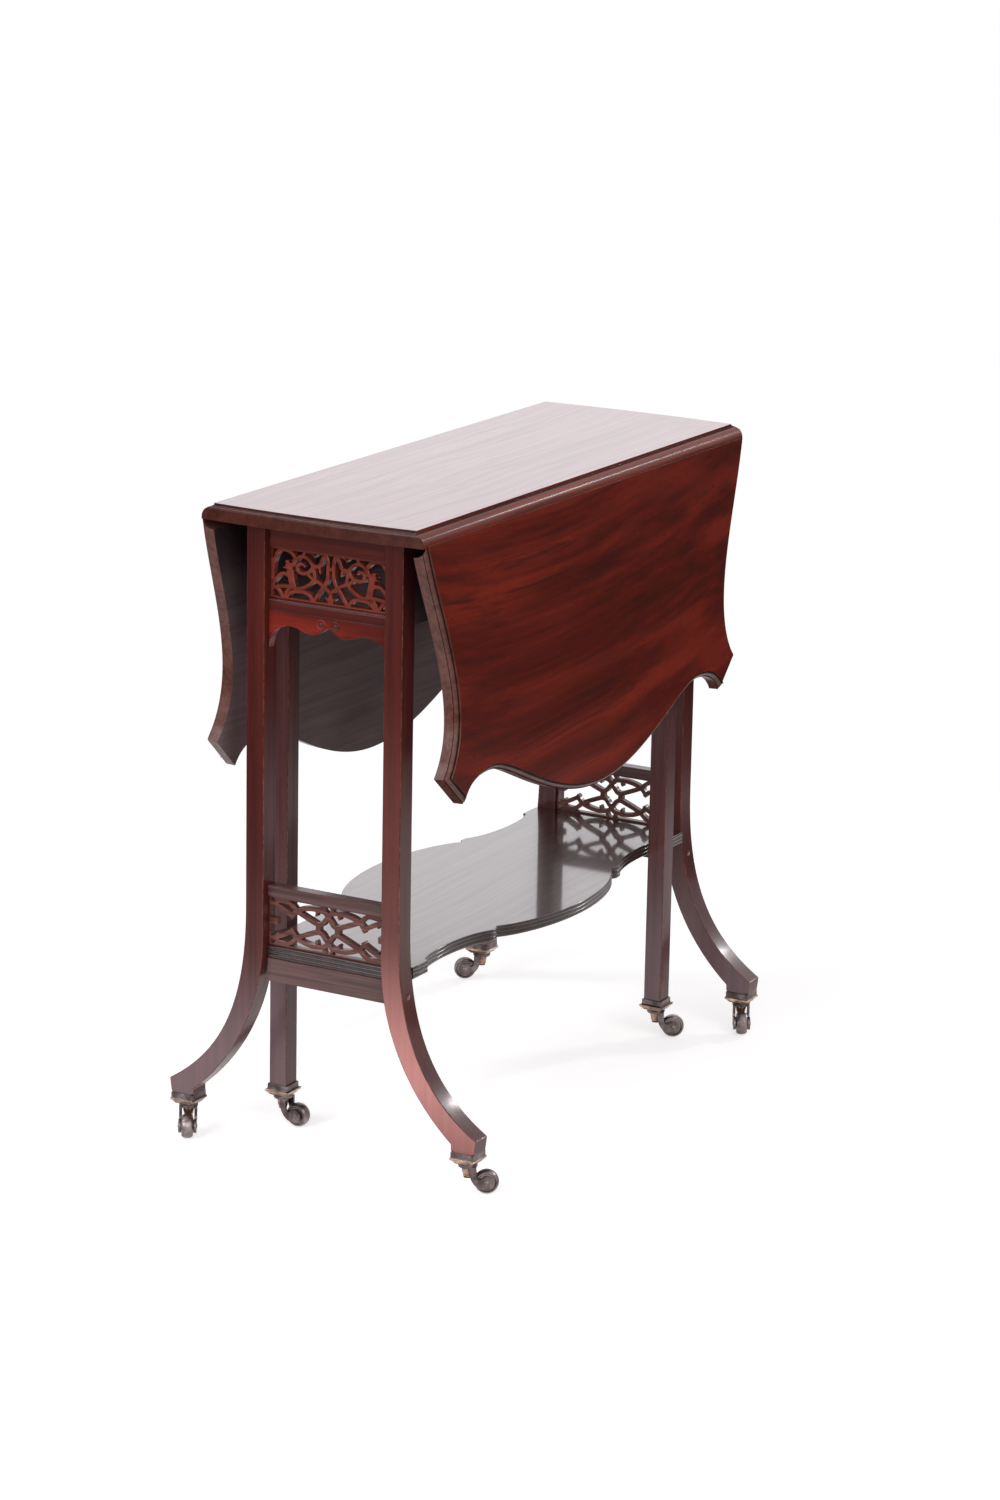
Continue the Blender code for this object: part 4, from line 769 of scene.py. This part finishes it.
fretSet = dict(back=0.311, face=0.318, half=0.0721, margin=0.0018, chamfer=0.0004, least=0.0002, steps=6,
               drawnHeight=54.0, over=0.003, chamferFace=(0.2, 0.95))
friezeSet = dict(
    low=0.6060, high=0.6597, finish=friezeFinish, strap=4.0,
    scrolls=[
        "70,20 69,38 62,51 51,51.5 43.5,45 45.5,37", "44,37.5 50,37",
        "45.5,37 40,44.5 34,47.5 27,45 21,39.5 14,39.6 10,47 6.2,53.5",
        "21,39.5 25,33 32,29.5 39,31 40.5,36.5 36,40",
        "6.2,53.5 3.6,45 3.4,38 3.8,28 7.5,19", "20.5,39 20.5,34 19,25.5",
        "29,31 23,26 15,22.5 9,19.5 3,15 0,13",
        "19,25.5 24,20 32,14.8 40,12.3 47,13.5 53,8 56,0.5",
        "54,2 47,8 40,9.7 31,9.8 25,6.5 21,0.5", "21,0.5 15,9.5 8.5,19",
        "71.5,12 66,20 60,26 54,26.5 47,23", "71.5,10 62,12.5 53,13.5 46,13.5",
        "66,13 61,6 55,0.5", "70,20 71.5,14"],
    shaped=[
        (7.2, 7.2, "49.5,39 49.5,32 48,24 47,18 45.5,13.5"),
        (3.6, 1.6, "36,40 33.5,39 31.5,36.5"), (3.6, 1.4, "14,39.6 13.2,35 12.4,31.5"),
        (3.0, 3.0, "31,54 33,50 35,47.2"), (2.2, 1.2, "8.5,53.2 13,52.4 17,51.2 19.4,48"),
        (2.2, 1.2, "30,53.2 26,52.6 22,51.4 19.4,48"), (3.4, 1.0, "50,33.4 53.5,33.2 57.5,33.6"),
        (3.0, 0.8, "47.5,31.6 45.6,30.8 43.8,30.4"), (4.6, 3.4, "50.5,39 52.6,39.6 54.2,39.2"),
        (4.0, 2.6, "51,36.4 53,36.2 54.6,35.4"), (3.4, 2.0, "49.5,29.5 51.5,29.2 53,28.6"),
        (3.0, 1.2, "0,3.5 3.4,5.2 6.2,7.8")],
    middle=[(3.6, 3.6, [(-4.5, 38), (4.5, 38)]), (4.2, 4.2, [(0, 15), (0, 8), (0, 0.5)]),
            (7.2, 7.2, [(0, 7.6), (0, 2)])])
gallerySet = dict(
    low=0.2293, high=0.2832, finish=galleryFinish, strap=5.0,
    scrolls=[
        "39,15 30,11 20,7 12.5,4.4 7.3,5.4 3.5,10 0,14 -4.5,19 -17,20.5 -29,18.8 -38.8,15.2",
        "38,14 46,21.5 55,24.2 66,25.5", "39,15.5 42.5,11 46,7.4",
        "44,8 51.6,12.4 59,16 66,18.6 72,20", "52,23.5 61,22.5 64,19.5"],
    shaped=[
        (4.2, 2.4, "5.2,19.5 5,23 2.5,26.5"), (4.2, 2.2, "14.5,20.5 13.5,17 14.6,13.6"),
        (7.2, 6.4, "43.4,9.5 46.8,7"), (3.4, 1.4, "60,17.5 60.5,14.5 62.5,12.8")],
    sides=[(8.2, 8.2, "9,0 14.5,0"), (7.2, 7.2, "62,0 72,0")])


def mirrored(straps):
    straps = [(first, last, [tuple(map(float, spot.split(","))) for spot in path.split()])
              for first, last, path in straps]
    return straps + [(first, last, [(-y, z) for y, z in points]) for first, last, points in straps]


def bothHalves(d):
    return mirrored([(d["strap"], d["strap"], path) for path in d["scrolls"]] + d["shaped"])


def galleryStraps(d):  # drawn up from the middle of the panel, the same below it
    straps = bothHalves(d)
    straps += [(first, last, [(y, -z) for y, z in points]) for first, last, points in straps] + mirrored(d["sides"])
    return [(first, last, [(y, z + fretSet["drawnHeight"] / 2) for y, z in points]) for first, last, points in straps]


def fretPanel(d, straps, s):
    low, high, half, edge = d["low"], d["high"], s["half"], s["margin"]
    back, front = s["back"] - s["over"], s["face"] + s["over"]
    piece = addBox((s["back"], -half, low), (s["face"], half, high))
    joinBoolean(piece, [addBox((back, edge - half, low + edge), (front, half - edge, high - edge))], "DIFFERENCE")
    up = (high - low) / (s["drawnHeight"] * mm)
    for first, last, points in straps:
        joinBoolean(piece, [strapPiece((first, last), points, low, up, s)])
    joinBoolean(piece, [addBox((back, -half, low), (front, half, high))], "INTERSECT")
    dress(closeUp(piece), d["finish"], edgeFinish)
    # the straps' chamfers take the lighter edge finish: painted highlight
    steep, flat = s["chamferFace"]
    for face in piece.data.polygons:
        face.material_index = 1 if steep < abs(face.normal.x) < flat else 0
    return piece


for part, d, straps in (("frieze", friezeSet, bothHalves(friezeSet) + friezeSet["middle"]),
                        ("gallery", gallerySet, galleryStraps(gallerySet))):
    pattern = fretPanel(d, straps, fretSet)
    for end, turn in endTurns.items():
        panel = copyPiece(pattern, turn=(0, 0, turn))
        finishPiece(panel, "mahogany_fret", end + "_" + part + "_fret", smooth=30)
    bpy.data.objects.remove(pattern)
print("fretwork made")


# undershelf: serpentine sides and three reeds all round

shelfSet = dict(
    top=0.229, thick=0.013, reeds=3, reedDepth=0.0011, reedSteps=8, end=0.322, endSpan=0.0721, notch=0.3057,
    shoulder=(0.275, 0.0975), start=(0.2715, 0.0925), hollowPull=(-0.020, -0.009), hollowPush=(0.032, -0.0195),
    lead=(0.146, 0.101), tip=(0.136, 0.1015), nick=(0.130, 0.098), bulgePull=(-0.025, 0.019), bulgePush=(0.055, 0.0),
    middle=0.1315, steps=28)


def shelfOutline(s):
    notch, shoulder = s["notch"], s["shoulder"]
    side = [(s["end"], s["endSpan"]), (notch, s["endSpan"]), (notch, shoulder[1]), shoulder, s["start"]]
    side += curvePoints(s["start"], s["hollowPull"], s["hollowPush"], s["lead"], s["steps"]) + [s["tip"], s["nick"]]
    side += curvePoints(s["nick"], s["bulgePull"], s["bulgePush"], (0.0, s["middle"]), s["steps"])
    back = side + [(-x, y) for x, y in side[-2::-1]]
    return back + [(-x, -y) for x, y in back]


def shelfBoard(s):
    bottom = s["top"] - s["thick"]
    pitch = s["thick"] / s["reeds"]
    levels = [(bottom, s["reedDepth"])]
    for reed in range(s["reeds"]):
        for step in range(1, s["reedSteps"] + 1):
            turn = math.pi * (step / s["reedSteps"] - 0.5)
            levels.append((bottom + pitch * (reed + 0.5 + math.sin(turn) / 2), s["reedDepth"] * (1 - math.cos(turn))))
    piece = closeUp(raiseBoard(boardRings(shelfOutline(s), levels)))
    dressBoard(piece, shelfFinish, s["top"], reedFinish)
    return finishPiece(piece, "mahogany_top", "undershelf")


shelfBoard(shelfSet)
print("shelf made")


# castors: a square cup on the foot, a forked swivel below it and a small wheel; profiles are (radius, height)

castorSet = dict(
    rim=0.0146, bottom=0.0335, base=[(0, 0.0042), (0.0007, 0.0036), (0.0014, 0.0034), (0.0016, 0.0028)], baseTop=0.035,
    ogeeLow=0.0018, ogeeRise=0.0028, ogeeInset=0.0026, ogeeOut=0.0024, ogeeSteps=8, flange=0.0385, flangeTop=0.0398,
    collar=0.0414, hollowSteps=6, top=0.0465, floor=0.0412, gap=0.0003, wall=0.0012, arris=0.0003, arrisAngle=60,
    pintle=[(0.0, 0.0167), (0.00264, 0.0168), (0.0044, 0.0174), (0.0044, 0.0185), (0.003, 0.0185), (0.003, 0.0351),
            (0.0, 0.0351)], pintleSteps=24,
    cap=[(0.0031, 0.029), (0.0092, 0.029), (0.0104, 0.030), (0.0104, 0.0326), (0.0098, 0.0332), (0.0031, 0.0332)],
    boss=[(0.0031, 0.0188), (0.0042, 0.0188), (0.0050, 0.0197), (0.0062, 0.0262), (0.0066, 0.0270), (0.0066, 0.0298),
          (0.0031, 0.0298)], capSteps=40, bossSteps=32, bossReach=0.0068, capLow=0.029,
    trail=0.020, wheel=0.013, cheekIn=0.00675, cheekThick=0.003, cheekArris=0.0005, bar=(0.0016, 0.0092), barTop=0.0311,
    hookTop=0.0215, hookPull=(0.0, -0.0025), hookPush=(-0.0022182, -0.0003), hookSteps=12, eye=0.0076,
    eyeSpan=(150, -112), eyeSteps=30, chinPull=(-0.007653, 0.0002466), chinPush=(0.0, -0.0112),
    chinTop=0.0262, chinSteps=16, axle=0.0022, axleSteps=24,
    rivet=dict(radius=0.0029, root=0.001, rise=0.0009, dome=[(1, 0.2), (0.8, 0.7), (0.4, 1), (0, 1.05)], steps=24),
    tread=[(0.00235, 0.0060), (0.0042, 0.0062), (0.0047, 0.0056), (0.0092, 0.0052), (0.0102, 0.0060), (0.0112, 0.0059),
           (0.0120, 0.0049), (0.0126, 0.0034), (0.0130, 0.0012)], treadSteps=56)
feet = {"front_left": ((-0.318, -0.1742), -60, 0.012), "front_right": ((0.318, -0.1742), -150, 0.012),
        "back_left": ((-0.318, 0.1742), -150, 0.012), "back_right": ((0.318, 0.1742), 120, 0.012),
        "front_gate": ((0.24, -0.10305), -60, 0.01075),
        "back_gate": ((-0.24, 0.10305), -90, 0.01075)}  # spot, heading, half the foot
onSide = (quarter, 0, 0)


def castorCup(s, foot):
    rim, bottom, edge, up = s["rim"], s["bottom"], s["arris"], s["flangeTop"]
    pocket = rim - foot - s["gap"]
    lip = pocket - s["wall"]
    levels = [(bottom + height, inset) for height, inset in s["base"]]
    for step in range(s["ogeeSteps"] + 1):  # ogee out to the flange
        share = step / s["ogeeSteps"]
        levels.append((bottom + s["ogeeLow"] + share * s["ogeeRise"],
                       s["ogeeInset"] - s["ogeeOut"] * (1 - math.cos(math.pi * share)) / 2))
    levels += [(s["flange"], 0.0), (up - edge, 0.0), (up, edge)]
    for step in range(1, s["hollowSteps"] + 1):  # hollow up to the collar
        turn = quarter * step / s["hollowSteps"]
        levels.append((up + (s["collar"] - up) * (1 - math.cos(turn)), edge + (lip - edge) * math.sin(turn)))
    levels += [(s["top"] - edge, lip), (s["top"], lip + edge), (s["top"], pocket), (s["floor"], pocket)]
    square = [(rim, -rim), (rim, rim), (-rim, rim), (-rim, -rim)]
    cup = ease(closeUp(raiseBoard(boardRings(square, levels))), edge, s["arrisAngle"])
    joinBoolean(cup, [spinProfile(s["pintle"], s["pintleSteps"])])
    dress(cup, castorBrass, castorBronze)
    for face in cup.data.polygons:
        face.material_index = 0 if s["baseTop"] <= face.center.z <= up else 1
    return cup


def cheekOutline(s):  # a bar from the cap plate that hooks round to the axle
    near, far = s["bar"]
    eye = arcPoints((s["trail"], s["wheel"]), s["eye"], *s["eyeSpan"], s["eyeSteps"])
    points = [(near, s["barTop"]), (far, s["barTop"]), (far, s["hookTop"])]
    points += curvePoints(points[-1], s["hookPull"], s["hookPush"], eye[0], s["hookSteps"]) + eye[1:]
    return points + curvePoints(eye[-1], s["chinPull"], s["chinPush"], (near, s["chinTop"]), s["chinSteps"])


def castorFork(s):
    fork = spinProfile(s["cap"], s["capSteps"])
    tools = [spinProfile(s["boss"], s["bossSteps"])]
    for sign in (-1, 1):
        cheek = drawFace([(x, sign * s["cheekIn"], z) for x, z in cheekOutline(s)])
        tools.append(ease(closeUp(thicken(cheek, (0, sign * s["cheekThick"], 0))), s["cheekArris"]))
        spot = (s["trail"], sign * (s["cheekIn"] + s["cheekThick"]), s["wheel"])
        tools.append(settlePlace(domeHead(s["rivet"]), spot, (-sign * quarter, 0, 0)))
    reach = s["cheekIn"] + s["cheekThick"] / 2
    axle = spinProfile([(0.0, -reach), (s["axle"], -reach), (s["axle"], reach), (0.0, reach)], s["axleSteps"])
    tools.append(settlePlace(axle, (s["trail"], 0, s["wheel"]), onSide))
    dress(closeUp(joinBoolean(fork, tools), flatten=0.5), castorBronze, castorCopper)
    for face in fork.data.polygons:
        nearAxis = math.hypot(face.center.x, face.center.y) < s["bossReach"]
        face.material_index = 1 if nearAxis and face.center.z < s["capLow"] else 0
    return fork


def castorWheel(s):  # round tread, a shallow dish each side and a small hub
    profile = [(radius, -height) for radius, height in s["tread"]] + s["tread"][::-1]
    return dress(settlePlace(spinProfile(profile, s["treadSteps"]), turn=onSide), wheelMetal)


forkPattern = castorFork(castorSet)
wheelPattern = castorWheel(castorSet)
for foot, (spot, heading, half) in feet.items():
    spot, turn = (*spot, 0), (0, 0, math.radians(heading))
    finishPiece(settlePlace(castorCup(castorSet, half), spot), "patinated_brass", foot + "_castor_cup")
    finishPiece(copyPiece(forkPattern, spot, turn), "patinated_brass", foot + "_castor_fork")
    wheel = copyPiece(wheelPattern, (castorSet["trail"], 0, castorSet["wheel"]))
    finishPiece(settlePlace(wheel, spot, turn), "wheel_metal", foot + "_castor_wheel")
for pattern in (forkPattern, wheelPattern):
    bpy.data.objects.remove(pattern)
print("castors made")


# paper on the studio floor, room and light

stageSet = dict(size=60, drop=0.0005, paper=1.05, fade=1.5, colour="#EFEDED", room=0.02, lift=0.55, world=0.20)
softboxes = dict(
    key=dict(spot=(-2.4, -2.8, 2.1), aim=(0, 0, 0.4), size=(4.4, 3.6), watts=106),
    fill=dict(spot=(-2.0, 0.4, 1.0), aim=(-0.3, 0, 0.4), size=(1.0, 1.0), watts=14.5),
    back=dict(spot=(3.6, 0.9, 2.1), aim=(0, 0, 0.5), size=(4.6, 1.8), watts=16, colour="#FFF6FF"),
    rim=dict(spot=(7.3, -3.0, 4.0), aim=(0, -0.1, 0.4), size=(0.7, 0.7), watts=120),
    high=dict(spot=(-1.9, 1.8, 3.2), aim=(0, 0, 0.5), size=(1.3, 1.3), watts=30))


def makeStage(s):
    clearSelection()
    bpy.ops.mesh.primitive_plane_add(size=s["size"], location=(0, 0, -s["drop"]))
    floor = bpy.context.object
    floor.name = "floor"
    material, addNode, shader = newMaterial("whitePaper")  # pale under the table, dark round it, white to the camera
    away = addNode("VectorMath LENGTH", [addNode("TexCoord", {}, "Object")], "Value")
    near = addNode("MapRange SMOOTHSTEP", [away, s["fade"], s["paper"]])
    path = addNode("LightPath", {}).node.outputs
    echoed = addNode("Math MAXIMUM", [path["Is Glossy Ray"], path["Is Transmission Ray"]])
    straight = addNode("MapRange", [near, 0.0, 1.0, 1.0, s["lift"]])
    direct = addNode("Math MULTIPLY", [straight, path["Is Camera Ray"]])
    echo = addNode("Math MULTIPLY", [near, s["lift"]])
    glow = addNode("Math MULTIPLY_ADD", [echo, echoed, direct])
    tone = addNode("Mix", {"data_type": "RGBA", 0: near, 6: grey(s["room"]), 7: toLinear(s["colour"])}, 2)
    fillNode(shader, {"Base Color": tone, "Emission Strength": glow, "Emission Color": grey(1), "Roughness": 0.9,
                      "Specular IOR Level": 0.0})
    floor.data.materials.append(material)

    world = bpy.context.scene.world or bpy.data.worlds.new("studio")
    bpy.context.scene.world = world
    world.use_nodes = True
    addNode = nodeAdder(world.node_tree)
    path = addNode("LightPath", {}).node.outputs
    seen = addNode("Math MAXIMUM", [path["Is Camera Ray"], path["Is Glossy Ray"]])
    seen = addNode("Math MAXIMUM", [seen, path["Is Transmission Ray"]])
    level = addNode("MapRange", [seen, 0.0, 1.0, s["world"], 1.0])
    fillNode(world.node_tree.nodes["Background"], {"Color": grey(1), "Strength": level})


def addSoftbox(name, spot, aim, size, watts, colour="#FFFFFF"):
    bpy.ops.object.light_add(type="AREA", location=spot)
    lamp = bpy.context.object
    lamp.name = name
    lamp.data.shape = "RECTANGLE"
    lamp.data.size, lamp.data.size_y = size
    lamp.data.energy = watts
    lamp.data.color = toLinear(colour)[:3]
    lamp.rotation_euler = (Vector(aim) - Vector(spot)).to_track_quat("-Z", "Y").to_euler()
    lamp.visible_camera = False


makeStage(stageSet)
for name, look in softboxes.items():
    addSoftbox(name + "Softbox", **look)
bpy.context.scene.view_settings.view_transform = "Standard"
print("stage and light set")
